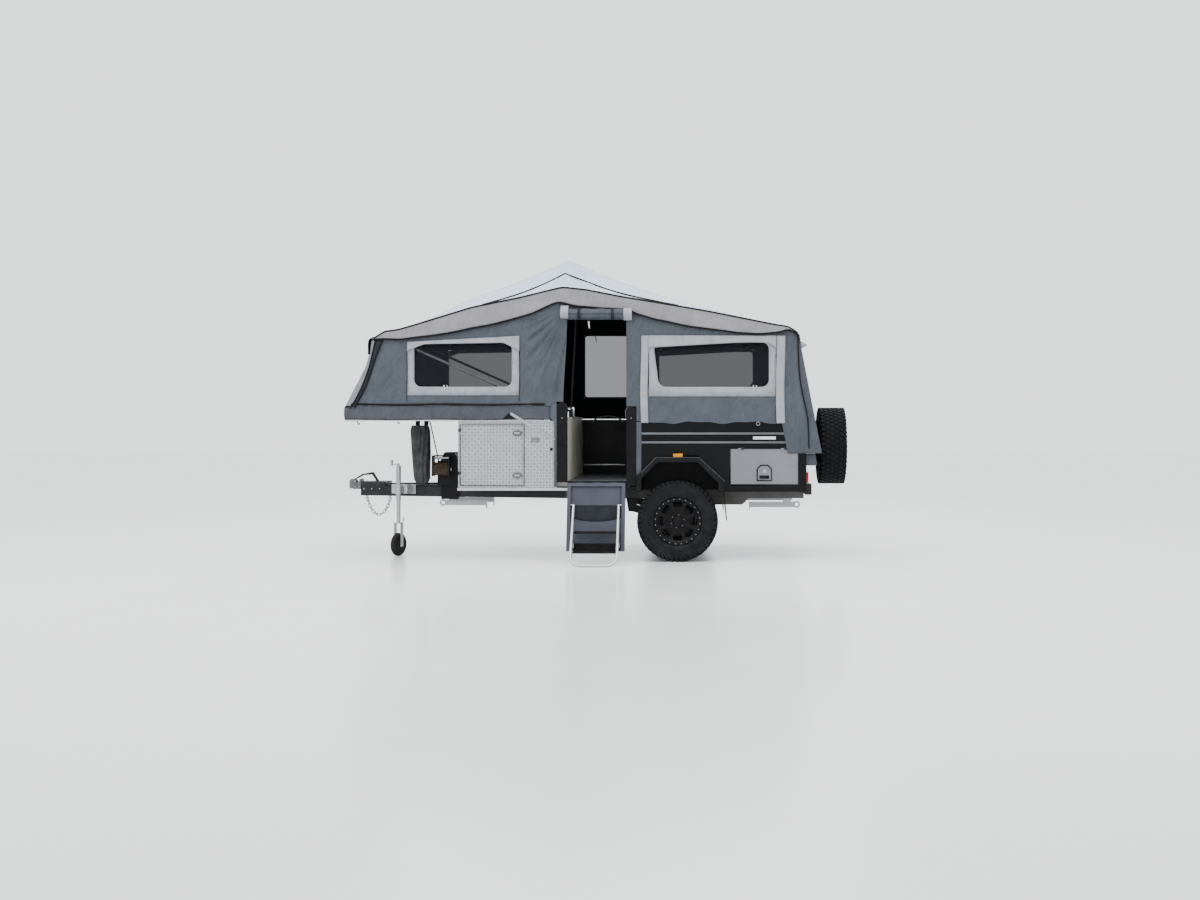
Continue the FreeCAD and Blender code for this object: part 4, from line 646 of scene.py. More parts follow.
def spread(across, along, place):
    """A grid of cloth, each vertex put where place says for its two shares."""
    bm = bmesh.new()
    bmesh.ops.create_grid(bm, x_segments=across, y_segments=along, size=0.5)
    for vert in bm.verts:
        vert.co = place(vert.co.x + 0.5, vert.co.y + 0.5)
    return bm


def cloth(name, bm, material, thick=1.5, inner_shade=None):
    """A thin sheet with its thickness."""
    obj = piece(name, bm, material, outward=False)
    thickness = modifier(obj, "SOLIDIFY", thickness=thick / 1000, offset=-1 if inner_shade else 0)
    # A dark material on the inner side is painted shade that keeps the inside of the tent dim.
    if inner_shade:
        obj.data.materials.append(MATERIALS[inner_shade])
        thickness.material_offset = 1
    return obj


def make_fly():
    def place(u, v):
        x, y = FLY_START + u * (FLY_END - FLY_START), (v * 2 - 1) * FLY_OUT
        return at(x, y, roof_height(x, y))

    fly = cloth("fly_roof", spread(190, 70, place), "fly_cloth", thick=2.5)
    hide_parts("tent_roof")
    peak = (PEAK_X, SEAM_Y)
    for side, label in SIDES:
        for tag, start, end, bend in (("front", (1471, FLY_OUT), peak, 16),
                                      ("rear", peak, (3347, FLY_OUT), 24)):
            line = []
            for share in steps(12):
                x, y = (a + (b - a) * share for a, b in zip(start, end))
                y = min(y + bend * math.sin(math.pi * share), FLY_OUT)
                line.append(at(x, side * y, roof_height(x, y) + 6))
            tube_along(f"fly_seam_{tag}_{label}", line, 9, "piping")
    ridge = [at(x, 0, roof_height(x, 0) + 1) for x in range(420, 4500, 120)]
    tube_along("fly_ridge_seam", ridge, 2.2, "patch_grey")


def valance_bottom(x):
    """Lower edge of the valance, read along the near side."""
    return min(line_between(BAND, x), roof_edge(x) - 4)


def make_valance(side, label):
    low, high = BAND[0][0], BAND[-1][0]

    def place(u, v):
        x = low + u * (high - low)
        bottom, top = valance_bottom(x), roof_edge(x)
        hang = 1 - v
        wave = hang * (5 * math.sin(x / 95) + 3 * math.sin(x / 43 + 1) + 1.6 * math.sin(x / 17 + v * 3))
        push = 3 + 7 * hang + wave * 0.6
        return at(x, side * (FLY_OUT + push), bottom + (top - bottom) * v + wave * 0.25)

    def top_edge(u):
        x = low + u * (high - low)
        return at(x, side * (FLY_OUT + 3), roof_edge(x) + 2)

    cloth("valance_" + label, spread(210, 8, place), "valance_grey")
    tube_along("valance_top_piping_" + label, [top_edge(u) for u in steps(80)], 8, "piping")
    tube_along("valance_low_piping_" + label, [place(u, 0) for u in steps(80)], 9, "piping")


def patch_calm(x, z, patches=(PATCH_FRONT, PATCH_REAR)):
    """1 on open canvas and 0 on and beside the window patches, so that no fold runs through them."""
    calm = 1.0
    for left, right, bottom, top in patches:
        away = math.hypot(max(left - x, x - right, 0), max(bottom - z, z - top, 0))
        calm = min(calm, soft_step(away, 12, 110))
    return calm


def wall_folds(x, z):
    """Outward push of a side wall's folds: fanned from the doorway's top, and soft ones elsewhere."""
    fan_x, fan_z = 2330, 2470
    door_left, door_right = 2283, 2850
    rear_strip = 4374
    fold = 0.0
    turn, reach = math.atan2(fan_z - z, fan_x - x), math.hypot(fan_x - x, fan_z - z)
    if x < door_left:
        fan = soft_step(reach, 60, 420) * (1 - soft_step(door_left - x, 330, 470))
        fold += fan * (11 * math.sin(turn * 34) + 5 * math.sin(turn * 61 + 1))
    if x > door_right:
        near_door = 1 - soft_step(x - door_right, 60, 200)
        fold += near_door * 7 * math.sin((x - door_right) / 21 + z / 260)
    if x > rear_strip:
        gather = math.sin((x - rear_strip + (z - 1700) * 0.16) / 17)
        fold += 8 * gather * soft_step(x, rear_strip, rear_strip + 46)
    fold += 3.5 * math.sin((x + 0.45 * z) / 47 + math.sin(z / 130) * 1.6) * soft_step(z, 1400, 1800)
    fold += 5.0 * noise.noise(Vector((x / 160, z / 230, 3.1)))
    fold += 2.2 * noise.noise(Vector((x / 60, z / 60, 9.1)))
    under_band = 1 - soft_step(z, valance_bottom(x) - 50, valance_bottom(x) + 10)
    return fold * patch_calm(x, z) * (0.15 + 0.85 * under_band)


def cut_along(bm, point, normal, drop_outer=False):
    """Cut a sheet by a plane, and drop what lies on the side that the normal points to if asked."""
    geometry = bm.verts[:] + bm.edges[:] + bm.faces[:]
    bmesh.ops.bisect_plane(bm, geom=geometry, plane_co=point, plane_no=normal, clear_outer=drop_outer)


def drop_box(bm, left, right, bottom, top):
    """Cut a rectangle out of a wall that still lies in its plane."""
    for x in (left, right):
        cut_along(bm, at(x, 0, 0), Vector((1, 0, 0)))
    for z in (bottom, top):
        cut_along(bm, at(0, 0, z), Vector((0, 0, 1)))
    low, high = at(left, 0, bottom), at(right, 0, top)
    lost = []
    for face in bm.faces:
        centre = face.calc_center_median()
        if low.x < centre.x < high.x and low.z < centre.z < high.z:
            lost.append(face)
    bmesh.ops.delete(bm, geom=lost, context="FACES")


def wall_sheet(holes):
    """Side wall of the tent in its plane, with windows, doorway and the steps of its lower edge."""
    left, right, bottom, top = 130.0, 4740.0, 1044.0, 2660.0
    bm = spread(230, 80, lambda u, v: at(left + u * (right - left), 0, bottom + v * (top - bottom)))
    for hole in holes:
        drop_box(bm, *hole)
    foot, head = on_side(REAR_SLOPE, 0)
    way = foot - head
    cut_along(bm, head, Vector((-way.z, 0, way.x)), drop_outer=True)
    for vert in bm.verts:
        vert.co.x = max(vert.co.x, x_at(FRONT_SLOPE, millimetres(vert.co)[1]) / 1000)
        limit = (roof_edge(vert.co.x * 1000) - 6 - BALL_HEIGHT) / 1000
        vert.co.z = min(vert.co.z, limit)
    bmesh.ops.remove_doubles(bm, verts=bm.verts, dist=0.0005)
    flat = [face for face in bm.faces if face.calc_area() < 1e-9]
    bmesh.ops.delete(bm, geom=flat, context="FACES")
    return bm


def make_walls():
    """Both side walls, with dark inner sides that are painted shade, keeping the inside of the tent dim."""
    front = grown(WINDOW_FRONT, 12)
    lower_front, over_body = (100, 2183, 1000, 1500), (2945, 4346, 1000, 1340)
    beside_post, over_post = (2183, 2280, 1000, 1540), (2850, 2945, 1000, 1497)
    far_low = (2183, 2945, 1000, 1372)
    holes = {"near": (front, grown(WINDOW_REAR, 12), lower_front, beside_post, over_body, DOORWAY, over_post),
             "far": (front, grown(FAR_REAR, 12), grown(WINDOW_FAR, 12), lower_front, far_low, over_body)}
    body_top, mirror_x = 1400, 4650
    for side, label in SIDES:
        bm = wall_sheet(holes[label])
        for vert in bm.verts:
            x, z = millimetres(vert.co)
            if side < 0:
                fold = wall_folds(x, z)
            else:
                fold = wall_folds(mirror_x - x, z) * patch_calm(x, z, (PATCH_FRONT, PATCH_REAR, PATCH_MIDDLE))
            if z < body_top:
                fold = max(fold, -1.5)
            if side < 0 and 2150 < x < 2290:
                vert.co.x -= 0.034 * soft_step(x, 2150, 2280) * (1 - soft_step(z, 1540, 2330))
            if z < 1338:
                vert.co.x += 0.056 * (1340 - z) / 292 * (1 - soft_step(x, 4346, 4640))
            elif 2945 < x < 4346 and z < 1420:
                slack = 9 * math.sin(x / 83) + 5 * math.sin(x / 37)
                vert.co.z -= slack * (1 - soft_step(z, 1340, 1420)) / 1000
            vert.co.y = side * (CANVAS_OUT + 3 + fold) / 1000
        if side > 0:
            bmesh.ops.reverse_faces(bm, faces=bm.faces)
        wall = cloth("canvas_wall_" + label, bm, "canvas",
                     inner_shade="inner_painted_shade")
        if side < 0:
            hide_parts("tent_sides")


def rounded_outline(bm, corners, y, radius):
    """A face with rounded corners in a side wall's plane."""
    face = bm.faces.new([bm.verts.new(point) for point in on_side(corners, y)])
    bmesh.ops.bevel(bm, geom=list(face.verts), offset=radius / 1000, segments=7, profile=0.5,
                    affect="VERTICES", material=-1)
    return max(bm.faces, key=lambda found: found.calc_area())


def window_patch(name, outer, hole, y, radius):
    """Sewn patch round a window: four corners with a rounded opening."""
    bm = bmesh.new()
    outline = rounded_outline(bm, hole, y, radius)
    bmesh.ops.delete(bm, geom=[outline], context="FACES_ONLY")
    corners = [bm.verts.new(point) for point in on_side(outer, y)]
    edges = [bm.edges.new(pair) for pair in zip(corners, corners[1:] + corners[:1])]
    bmesh.ops.subdivide_edges(bm, edges=edges, cuts=7)
    bmesh.ops.bridge_loops(bm, edges=bm.edges[:])
    obj = piece(name, bm, "patch_grey")
    modifier(obj, "SOLIDIFY", thickness=0.002, offset=0)
    flat = tuple((max(values) - min(values)) / 1000 for values in zip(*outer))


def window_screen(name, corners, side, radius):
    """Mesh screen a little larger than its opening, just inside the canvas."""
    middle = [sum(values) / len(values) for values in zip(*corners)]
    wider = [[value + math.copysign(15, value - centre) for value, centre in zip(corner, middle)]
             for corner in corners]
    bm = bmesh.new()
    rounded_outline(bm, wider, side * (CANVAS_OUT - 3), radius)
    return piece(name, bm, "screen" if side < 0 else "far_screen")


def awning(name, top, bottom, side):
    """Flap over a window, sewn along its top and standing off at its lower edge."""
    low, high = bottom[0][0], bottom[-1][0]

    def place(u, v):
        x = low + u * (high - low)
        upper = top[0] + (top[1] - top[0]) * u
        lower = line_between(bottom, x)
        corner = min(soft_step(x, low, low + 160), 1 - soft_step(x, high - 140, high))
        push = 12 + 26 * (1 - v) * (0.35 + 0.65 * corner) + 2.5 * noise.noise(Vector((x / 90, v * 2, 7)))
        return at(x, side * (CANVAS_OUT + push), lower + (upper - lower) * v)

    cloth(name, spread(60, 8, place), "patch_grey", thick=2.0)
    tube_along(name + "_hem", [place(u, 0) for u in steps(60)], 3, "strip_grey")


def make_windows():
    """Patches, screens, awning flaps, seams and toggles of the five windows."""
    front_patch = ((745, 1603), (1821, 1603), (1821, 2174), (745, 2116))
    rear_patch = ((3060, 1593), (4292, 1593), (4292, 2176), (3060, 2176))
    near_rear = ((3164, 1684), (4221, 1684), (4221, 2112), (3112, 2095))
    for side, label in SIDES:
        rear = near_rear if side < 0 else box_corners(FAR_REAR)
        for tag, outer, hole in (("front", front_patch, box_corners(WINDOW_FRONT)),
                                 ("rear", rear_patch, rear)):
            window_patch(f"window_patch_{tag}_{label}", outer, hole, side * (CANVAS_OUT + 7), 68)
            screen = window_screen(f"screen_{tag}_{label}", hole, side, 76)
            if (side, tag) == (-1, "front"):
                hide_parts("window_screens")
        awning("awning_front_" + label, (2116, 2174),
               ((745, 2028), (830, 2064), (915, 2095), (1673, 2108), (1740, 2075), (1821, 2028)), side)
        awning("awning_rear_" + label, (2178, 2178),
               ((3060, 2060), (3500, 2086), (3959, 2112), (4215, 2108), (4292, 2056)), side)
        for tag, x, low, high in (("front_a", 743, 1545, 2040), ("front_b", 1823, 1550, 2040),
                                  ("rear_a", 3062, 1600, 2060), ("rear_b", 4290, 1345, 2060)):
            line = [at(x + 3 * math.sin(z / 90), side * (CANVAS_OUT + 10), z) for z in range(low, high, 60)]
            tube_along(f"patch_seam_{tag}_{label}", line, 2.5, "piping")
    window_screen("screen_middle_far", box_corners(WINDOW_FAR), 1, 30)
    window_patch("window_patch_middle_far", box_corners(PATCH_MIDDLE), box_corners(WINDOW_FAR),
                 CANVAS_OUT + 7, 24)
    for number, (x, y, z, length, radius) in enumerate((
            (1099, -925, 1702, 44, 5), (1128, -925, 1700, 34, 4), (4071, -925, 1700, 44, 5),
            (4100, -925, 1698, 34, 4), (2493, -986, 2309, 68, 7), (1066, 895, 2128, 40, 5),
            (3420, 895, 2128, 42, 5), (2420, 895, 2275, 62, 5))):
        stud(f"toggle_{number}", at(x, y, z), at(x + length * 0.12, y, z - length), radius, radius * 0.7,
             "white_plastic" if y < 0 else "black_plastic", sides=12, ease=(radius * 0.5, 3))


def make_corner_strips():
    """Light and dark strips with piping at the front and rear corners of both sides."""
    outline = ((140, 1480), (165, 1528), (260, 1711), (344, 1874), (386, 2000), (404, 2133))
    piping_one = ((196, 1480), (232, 1528), (324, 1711), (381, 1874), (410, 2000), (439, 2133))
    piping_two = ((240, 1480), (266, 1528), (368, 1720), (420, 1900), (480, 2060), (513, 2143))
    rear_line = ((4606, 1092), (4602, 1345), (4584, 1444), (4515, 1752), (4506, 1992), (4498, 2181))
    foot, head, rear_head = 1500, 2128, 2176
    for side, label in SIDES:
        for tag, first, second, material, push in (("light", outline, piping_one, "strip_grey", 9),
                                                   ("dark", piping_one, piping_two, "canvas_dark", 11)):
            def place(u, v):
                z = foot + v * (head - foot)
                left, right = x_at(first, z), x_at(second, z)
                out = CANVAS_OUT + push + 5 * math.sin(math.pi * u)
                return at(left + (right - left) * u, side * out, z)

            cloth(f"front_strip_{tag}_{label}", spread(6, 40, place), material)
        for tag, line in (("one", piping_one), ("two", piping_two), ("rear", rear_line)):
            tube_along(f"corner_piping_{tag}_{label}", on_side(line, side * (CANVAS_OUT + 14)), 6, "piping")
        for tag, left, right, low in (("rear_a", 2990, 3060, 1338), ("rear_b", 4292, 4374, 1334)):
            def hang(u, v):
                z = low + v * (rear_head - low)
                x = left + u * (right - left) + 5 * math.sin(z / 150)
                out = CANVAS_OUT + 12 + 3 * math.sin(math.pi * u) + 2 * math.sin(z / 55)
                return at(x, side * out, z)

            cloth(f"window_strip_{tag}_{label}", spread(5, 50, hang), "patch_grey")


def make_ends():
    """Sloping front and rear walls of the tent, and the covers of the rear one's window."""
    for name, slope, way in (("front", FRONT_SLOPE, -1), ("rear", REAR_SLOPE, 1)):
        foot, head = slope[0], slope[-1]

        def place(u, v):
            y = (u * 2 - 1) * (CANVAS_OUT + 2)
            x = x_at(slope, foot[1] + (head[1] - foot[1]) * v)
            top = head[1] + (roof_height(head[0], y) - roof_edge(head[0])) * v - 6
            z = foot[1] + (top - foot[1]) * v
            fold = 6 * noise.noise(Vector((y / 190, z / 260, 5))) + 3 * math.sin(y / 60 + v * 2)
            return at(x + way * fold * math.sin(math.pi * v), y, z)

        bm = spread(70, 30, place)
        if way < 0:
            bmesh.ops.reverse_faces(bm, faces=bm.faces)
        # Its dark inner side is painted shade, as on the side walls.
        wall = cloth("canvas_end_" + name, bm, "canvas", inner_shade="inner_painted_shade")
        if way < 0:
            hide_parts("tent_ends")
    for number, (half, bottom, top, off, material) in enumerate(((560, 1560, 2010, 9, "patch_grey"),
                                                                 (500, 1620, 1950, 19, "canvas_dark"))):
        def panel(u, v):
            z = bottom + v * (top - bottom)
            return at(x_at(REAR_SLOPE, z) + off, (u * 2 - 1) * half, z)

        cloth(f"rear_window_cover_{number}", spread(16, 8, panel), material)


def make_flaps():
    """Hooked flap over the tent's front, the rolled one at its rear and the pegged ones at the corners."""
    def hook(u, v):
        y = (u * 2 - 1) * (FLY_OUT + 6)
        turn = min(v * math.radians(150), math.pi / 2)
        drop = max(0.0, v - 0.45) * 190
        x = 430 - 62 * math.sin(turn) - 6 * math.sin(y / 70) * v
        return at(x, y, roof_height(FRONT_HEAD[0], y) + 12 - 58 * (1 - math.cos(turn)) - drop)

    def roll_over(u, v):
        y = (u * 2 - 1) * (FLY_OUT + 4)
        turn = v * math.pi / 2
        drop = max(0.0, v - 0.6) * 120
        z = roof_height(REAR_HEAD[0], y) + 10 - 46 * (1 - math.cos(turn)) - drop
        return at(4478 + 46 * math.sin(turn), y, z)

    for name, place, along, material, thick, radius in (("front", hook, 16, "canvas_dark", 4.0, 6),
                                                        ("rear", roll_over, 12, "valance_grey", 3.0, 5)):
        cloth(name + "_flap", spread(70, along, place), material, thick=thick)
        tube_along(name + "_flap_piping", [place(u, 1) for u in steps(24)], radius, "piping")
    for side, label in SIDES:
        def peg(u, v):
            x = 4512 + 84 * (1 - abs(v * 2 - 1)) * u
            return at(x, side * (880 - 30 * u), 2148 - 104 * (1 - v) - 6 * u)

        cloth("peg_flap_" + label, spread(8, 8, peg), "patch_grey", thick=3.0)


def make_deck_skirt():
    """Band of cloth round the bed deck, from its near rear end to its far one."""
    deck_end = 2118
    side_length, front_length = deck_end - BED_FRONT, 2 * CANVAS_OUT
    total = side_length * 2 + front_length

    def place(u, v):
        along = u * total
        x = max(deck_end - min(along, total - along), BED_FRONT)
        dip = 26 * (1 - soft_step(x, BED_FRONT, 250))
        z = 1368 + v * (140 - dip) + 2.5 * math.sin(along / 130) * (1 - v)
        folds = 4 * math.sin((along * 0.8 + z * 1.6) / 70) * soft_step(x, 1000, 1300)
        folds += 5 * noise.noise(Vector((along / 210, v * 2.2, 1)))
        bulge = (7 * math.sin(math.pi * v) + folds) * (1 - soft_step(x, 1480, 1690))
        if side_length <= along < side_length + front_length:
            return at(BED_FRONT - bulge, along - side_length - CANVAS_OUT, z)
        side = -1 if along < side_length else 1
        return at(x, side * (CANVAS_OUT + 1 + bulge), z)

    skirt = cloth("deck_skirt", spread(330, 10, place), "skirt_cloth",
                  thick=2.5)
    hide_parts("tent_skirts")


def make_hangings():
    """Edges of the deck's skirt, drapes at the rear corners and the strips beside the doorway."""
    make_deck_skirt()
    for side, label in SIDES:
        # The thick black piping along the skirt's top is partly real piping and partly painted shade for the
        # shadow gap under the wall above it.
        top = [at(x, side * (CANVAS_OUT + 8), 1514 + 3 * math.sin(x / 140)) for x in range(205, 2110, 60)]
        hem = [at(x, side * (CANVAS_OUT + 3), 1370 + 2 * math.sin(x / 130)) for x in range(140, 2110, 60)]
        hook = on_side(((258, 1372), (258, 1330), (272, 1318), (280, 1336)), side * 880)
        tube_along("skirt_piping_and_shadow_" + label, top, 9, "piping")
        tube_along("skirt_hem_" + label, hem, 4, "canvas_dark")
        tube_along("skirt_hook_" + label, hook, 5, "black_plastic")

        def drape(u, v):
            along = u * 306
            low = 1048 + 8 * math.sin(along / 60)
            z = low + v * (1346 - low)
            swell = 6 * math.sin(along / 23 + v) * (0.4 + 0.6 * (1 - v))
            return at(4672 + 164 * (1340 - z) / 851 + swell, side * (CANVAS_OUT + 4 - along), z)

        def tail(u, v):
            return at(4551 + u * 122 + 18 * (1 - v), side * (CANVAS_OUT - 30 - 20 * u), 926 + v * 116)

        cloth("rear_drape_" + label, spread(40, 16, drape), "canvas")
        cloth("tail_flap_" + label, spread(10, 8, tail), "skirt_cloth",
              thick=3.0)
    for tag, left, left_above, right, high in (("front", 2155, 2119, 2182, 1520),
                                               ("rear", 2946, 2946, 2996, 1345)):
        def strip(u, v):
            z = DOOR_TOP + v * (high - DOOR_TOP)
            start = left_above if z > 1376 else left
            return at(start + u * (right - start), -911 - 2.5 * math.sin(z / 70 + u), z)

        cloth(f"door_strip_{tag}", spread(4, 40, strip), "canvas")


def make_rolled_door():
    """Door canvas rolled up above the doorway, with its light tabs and dark straps."""
    left, right, middle_y, middle_z = 2262, 2866, -934, 2384

    def roll(u, v):
        turn = v * 2.4 * math.tau
        x = left + u * (right - left)
        crease = 3.5 * noise.noise(Vector((x / 70, turn * 1.2, 2))) + 2 * math.sin(x / 26 + turn)
        radius = 51 - 8.5 * turn / math.tau + crease * (1 if v < 0.6 else 0.3)
        return at(x, middle_y - radius * math.cos(turn), middle_z + radius * math.sin(turn))

    cloth("door_roll", spread(90, 100, roll), "canvas")
    for number, (start, end, low, high) in enumerate(((2222, 2297, 2338, 2462), (2826, 2906, 2322, 2440))):
        def tab(u, v):
            z = low + v * (high - low)
            around = math.sin(math.pi * min(max((z - 2325) / 125, 0), 1))
            return at(start + u * (end - start), -(940 + 52 * around), z)

        cloth(f"door_tab_{number}", spread(6, 16, tab), "patch_grey", thick=2.5)
    for number, x in enumerate((2400, 2720)):
        turned(f"door_roll_strap_{number}", ((53, -14), (55, -14), (55, 14), (53, 14)),
               at(x, middle_y, middle_z), Vector((1, 0, 0)), "canvas_dark", count=40)


def make_tent():
    make_fly()
    for side, label in SIDES:
        make_valance(side, label)
    make_walls()
    make_windows()
    make_corner_strips()
    make_ends()
    make_flaps()
    make_hangings()
    make_rolled_door()


# Wheels

def make_tyre(name, node_name, centre, axis):
    """All-terrain tyre: carcass with ribs on its walls, and staggered tread blocks."""
    width, count = 265.0, 48
    wall = [(229, 26), (236, 14), (262, 5), (266, 3), (272, 5), (300, 0.5), (318, 0), (324, 3), (330, 3),
            (334, 0.6), (340, 3), (349, 2), (356, 8), (368, 14), (377, 26), (381, 44)]
    other_wall = [(radius, width - along) for radius, along in wall[::-1]]
    profile = wall + other_wall + [(222, width - 40), (222, 40)]
    bm = bmesh.new()
    ring(bm, profile, centre, axis)
    tread = bmesh.new()
    crown, shoulder, wall_lug = 384.5, 379, 356
    for along, radius, size, shift, slant in (
            (20, shoulder, (34, 33, 22), 0.0, -14), (62, crown, (40, 37.4, 11), 0.5, 14),
            (106, crown, (36, 33, 11), 0.0, -14), (150, crown, (36, 33, 11), 0.5, 14),
            (194, crown, (40, 37.4, 11), 0.0, -14), (240, shoulder, (34, 33, 22), 0.5, 14),
            (8, wall_lug, (12, 26, 30), 0.25, 0), (257, wall_lug, (12, 26, 30), 0.25, 0)):
        angle = math.tau / count * shift
        out = UP * math.cos(angle) + axis.cross(UP) * math.sin(angle)
        place = Matrix.Translation(centre + axis * (along / 1000) + out * (radius / 1000))
        basis = Matrix((axis, axis.cross(out), out)).transposed().to_4x4()
        turn = Matrix.Rotation(math.radians(slant), 4, "Z")
        scale = Matrix.Diagonal((*(Vector(size) / 1000), 1))
        bmesh.ops.create_cube(tread, size=1, matrix=place @ basis @ turn @ scale)
    rounded(tread, 2, 1)
    repeated(tread, centre, axis, count)
    mesh = bpy.data.meshes.new("tread")
    tread.to_mesh(mesh)
    tread.free()
    bm.from_mesh(mesh)
    bpy.data.meshes.remove(mesh)
    tyre = piece(name, bm, "tyre_rubber", body_with(node_name))
    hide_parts(node_name)


def make_rim_details(label, node_name, centre, axis):
    """Rings, bolts, hub cap and brake drum; the axis points inwards from the outer face."""
    body = body_with(node_name)

    def at_radius(radius, turn, along):
        out = UP * math.cos(turn) + axis.cross(UP) * math.sin(turn)
        return centre + out * (radius / 1000) + axis * (along / 1000)

    for name, profile, material, count in (
            ("bead_ring_", ((205, 14), (206, 11), (226, 11), (228, 14)), "wheel_black", 96),
            ("hub_cap_", ((0.5, 17), (20, 17), (38, 19), (43, 23), (44, 30), (0.5, 30)), "black_plastic", 48),
            ("hub_ring_", ((84, 34), (84, 31), (92, 30), (94, 34)), "wheel_black", 72),
            ("brake_drum_", ((40, 112), (150, 112), (172, 118), (176, 150), (40, 150)), "wheel_black", 96)):
        turned(name + label, profile, centre, axis, material, body, count)
    for name, radius, turn, low, high, width, tip, ease, count, material in (
            ("bead_bolts_", 216, 0.1, 12, 7, 4.8, 4, 0, 24, "silver_paint"),
            ("lug_nuts_", 62, 0.2, 34, 20, 8, 7, 1.5, 6, "cast_grey")):
        bm = bmesh.new()
        bar(bm, at_radius(radius, turn, low), at_radius(radius, turn, high), width, sides=6, end_radius=tip)
        if ease:
            rounded(bm, ease, 1)
        repeated(bm, centre, axis, count)
        piece(name + label, bm, material, body)


def make_wheels():
    """Road wheels on both sides and the spare at the back, with their rims' details."""
    x, y, z = WHEEL_PLACE
    for label, tyre, rim, centre, axis in (
            ("near", "tyre_near", "rim_near", at(x, -y, z), Vector((0, 1, 0))),
            ("far", "tyre_far", "rim_far", at(x, y, z), Vector((0, -1, 0))),
            ("spare", "spare_tyre", "spare_rim", at(*SPARE_PLACE), Vector((-1, 0, 0)))):
        make_tyre(f"tyre_{label}_tread", tyre, centre, axis)
        make_rim_details(label, rim, centre, axis)


# Rigid parts

def lamp_slot(centre, normal):
    """Red at the tail, clear between black ends on the sides, and amber elsewhere."""
    amber, clear, red, black = range(4)
    x = centre.x * 1000
    if x > 4500:
        return red
    if x > 4000:
        return black if abs(x - 4178) > 100 else clear
    return amber


def near_front_bow(centre, normal):
    return centre.y < -0.8 and centre.x < 1.75


def floor_edge(centre, normal):
    return abs(centre.y) > 0.86 or abs(normal.z) < 0.5


def make_rigid_parts():
    """Merged and eased copies of the rigid CAD nodes, each in its material."""
    parts = {}
    for names, material, ease in (
            (("jockey_clamp", "jockey_tube", "jockey_inner_tube", "jockey_fork"), "zinc", 1.0),
            (("coupling",), "cast_grey", 2.0),
            (("brake_lever", "winch_drum", "door_hinges"), "drawbar_black", 1.0),
            (("safety_chain",), "zinc", 0),
            (("drawbar_head", "drawbar_rails", "suspension", "rear_frame"), "drawbar_black", 3.0),
            (("chassis_rails", "cross_members"), "chassis_brown", 4.0),
            (("jockey_wheel", "mud_flaps"), "jockey_rubber", 1.5),
            (("winch_frame", "door_posts", "wheel_tubs"), "black_plastic", 2.0),
            (("arch_flares",), "flare_black", 6.0),
            (("toolbox", "toolbox_door_near", "toolbox_door_far"), "checker_plate", 1.5),
            (("body_sides", "body_side_far", "body_rear"), "body_black", 2.0),
            (("hatch_near", "hatch_far"), "hatch_grey", 1.5),
            (("entry_door",), "door_slate", 2.5),
            (("deck_braces", "stabilisers"), "silver_paint", 1.0),
            (("step_tread_upper", "step_tread_lower"), "black_plastic", 2.0),
            (("step_frame",), "tube_aluminium", 0),
            (("tent_bows", "rear_bow"), "frame_tube", 0),
            (("bed_deck",), "edge_aluminium", 1.5),
            (("side_trim",), "moulding_grey", 2.0),
            (("interior", "bench_tops", "bench_fronts"), "cream_panel", 1.5),
            (("floor",), "floor_grey", 1.5),
            (("rim_near", "rim_far", "spare_rim"), "wheel_black", 2.0),
            (("deck_straps",), "webbing", 0.5),
            (("lamps",), "amber", 1.5)):
        for name in names:
            parts[name] = dressed(name, material, ease)
    recoloured(parts["tent_bows"], near_front_bow, "tube_aluminium")
    recoloured(parts["floor"], floor_edge, "body_black")
    recoloured(parts["lamps"], lamp_slot, "clear_lens", "red_lens", "black_plastic")


def plate(name, outline, y, thick, material):
    """Flat plate on a side of the body, from its outline of (x, height) points."""
    bm = slab(on_side(outline, y), Vector((0, thick / 1000, 0)))[0]
    eased(piece(name, bm, material), 1.0)


def bolt_heads(name, places, radius, height, material="zinc"):
    """Round-headed rivets or bolts at (x, y, height) places, pointing away from the middle."""
    bm = bmesh.new()
    for x, y, z in places:
        tip = y - height if y < 0 else y + height
        bar(bm, at(x, y, z), at(x, tip, z), radius, sides=10, end_radius=radius * 0.6)
    piece(name, bm, material)


def make_toolbox_details():
    """Oval slam latches, seals, rivets, knobs and the bright lip of the toolbox on both sides."""
    for side, label in SIDES:
        door_body = body_with("toolbox_door_" + label)
        for number, z in enumerate((832, 1239)):
            oval = on_side([(1802 + x, z + up) for x, up in circle(28, 46, 28)], side * 914)
            bm, raised = slab(oval, Vector((0, side * 0.005, 0)))
            bmesh.ops.inset_region(bm, faces=raised, thickness=0.007, depth=-0.003)
            eased(piece(f"latch_bezel_{label}_{number}", bm, "frame_tube", door_body), 1.2)
            paddle = (1772, 1826, side * 917 - 3, side * 917 + 3, z - 10, z + 10)
            blocks(f"latch_paddle_{label}_{number}", [paddle], 2, "silver_paint", door_body)
        seal = closed(box_corners((1250, 1860, 738, 1316)))
        tube_along("toolbox_seal_" + label, on_side(seal, side * 916), 3.0, "frame_tube", door_body,
                   straight=True)
        rivets = [(x, side * BODY_OUT, 1338) for x in range(1890, 2140, 60)]
        rivets += [(x, side * BODY_OUT, 712) for x in range(1250, 2180, 78)]
        bolt_heads("toolbox_rivets_" + label, rivets, 4.5, 3)
        stud("toolbox_knob_" + label, at(2128, side * 900, 1084), at(2128, side * 914, 1084), 15, 12,
             "black_plastic", ease=(2.0, 3))
        plate("toolbox_lip_" + label, box_corners((1225, 2288, 686, 712)), side * 908, side * 3.0,
              "edge_aluminium")
        plate("brace_bracket_" + label, ((1660, 1374), (1778, 1374), (1722, 1432)), side * 909, side * 4.0,
              "black_plastic")
        bolt_heads("brace_bolts_" + label, [(1740, side * 914, 1424), (2146, side * 914, 1184)], 8, 6)


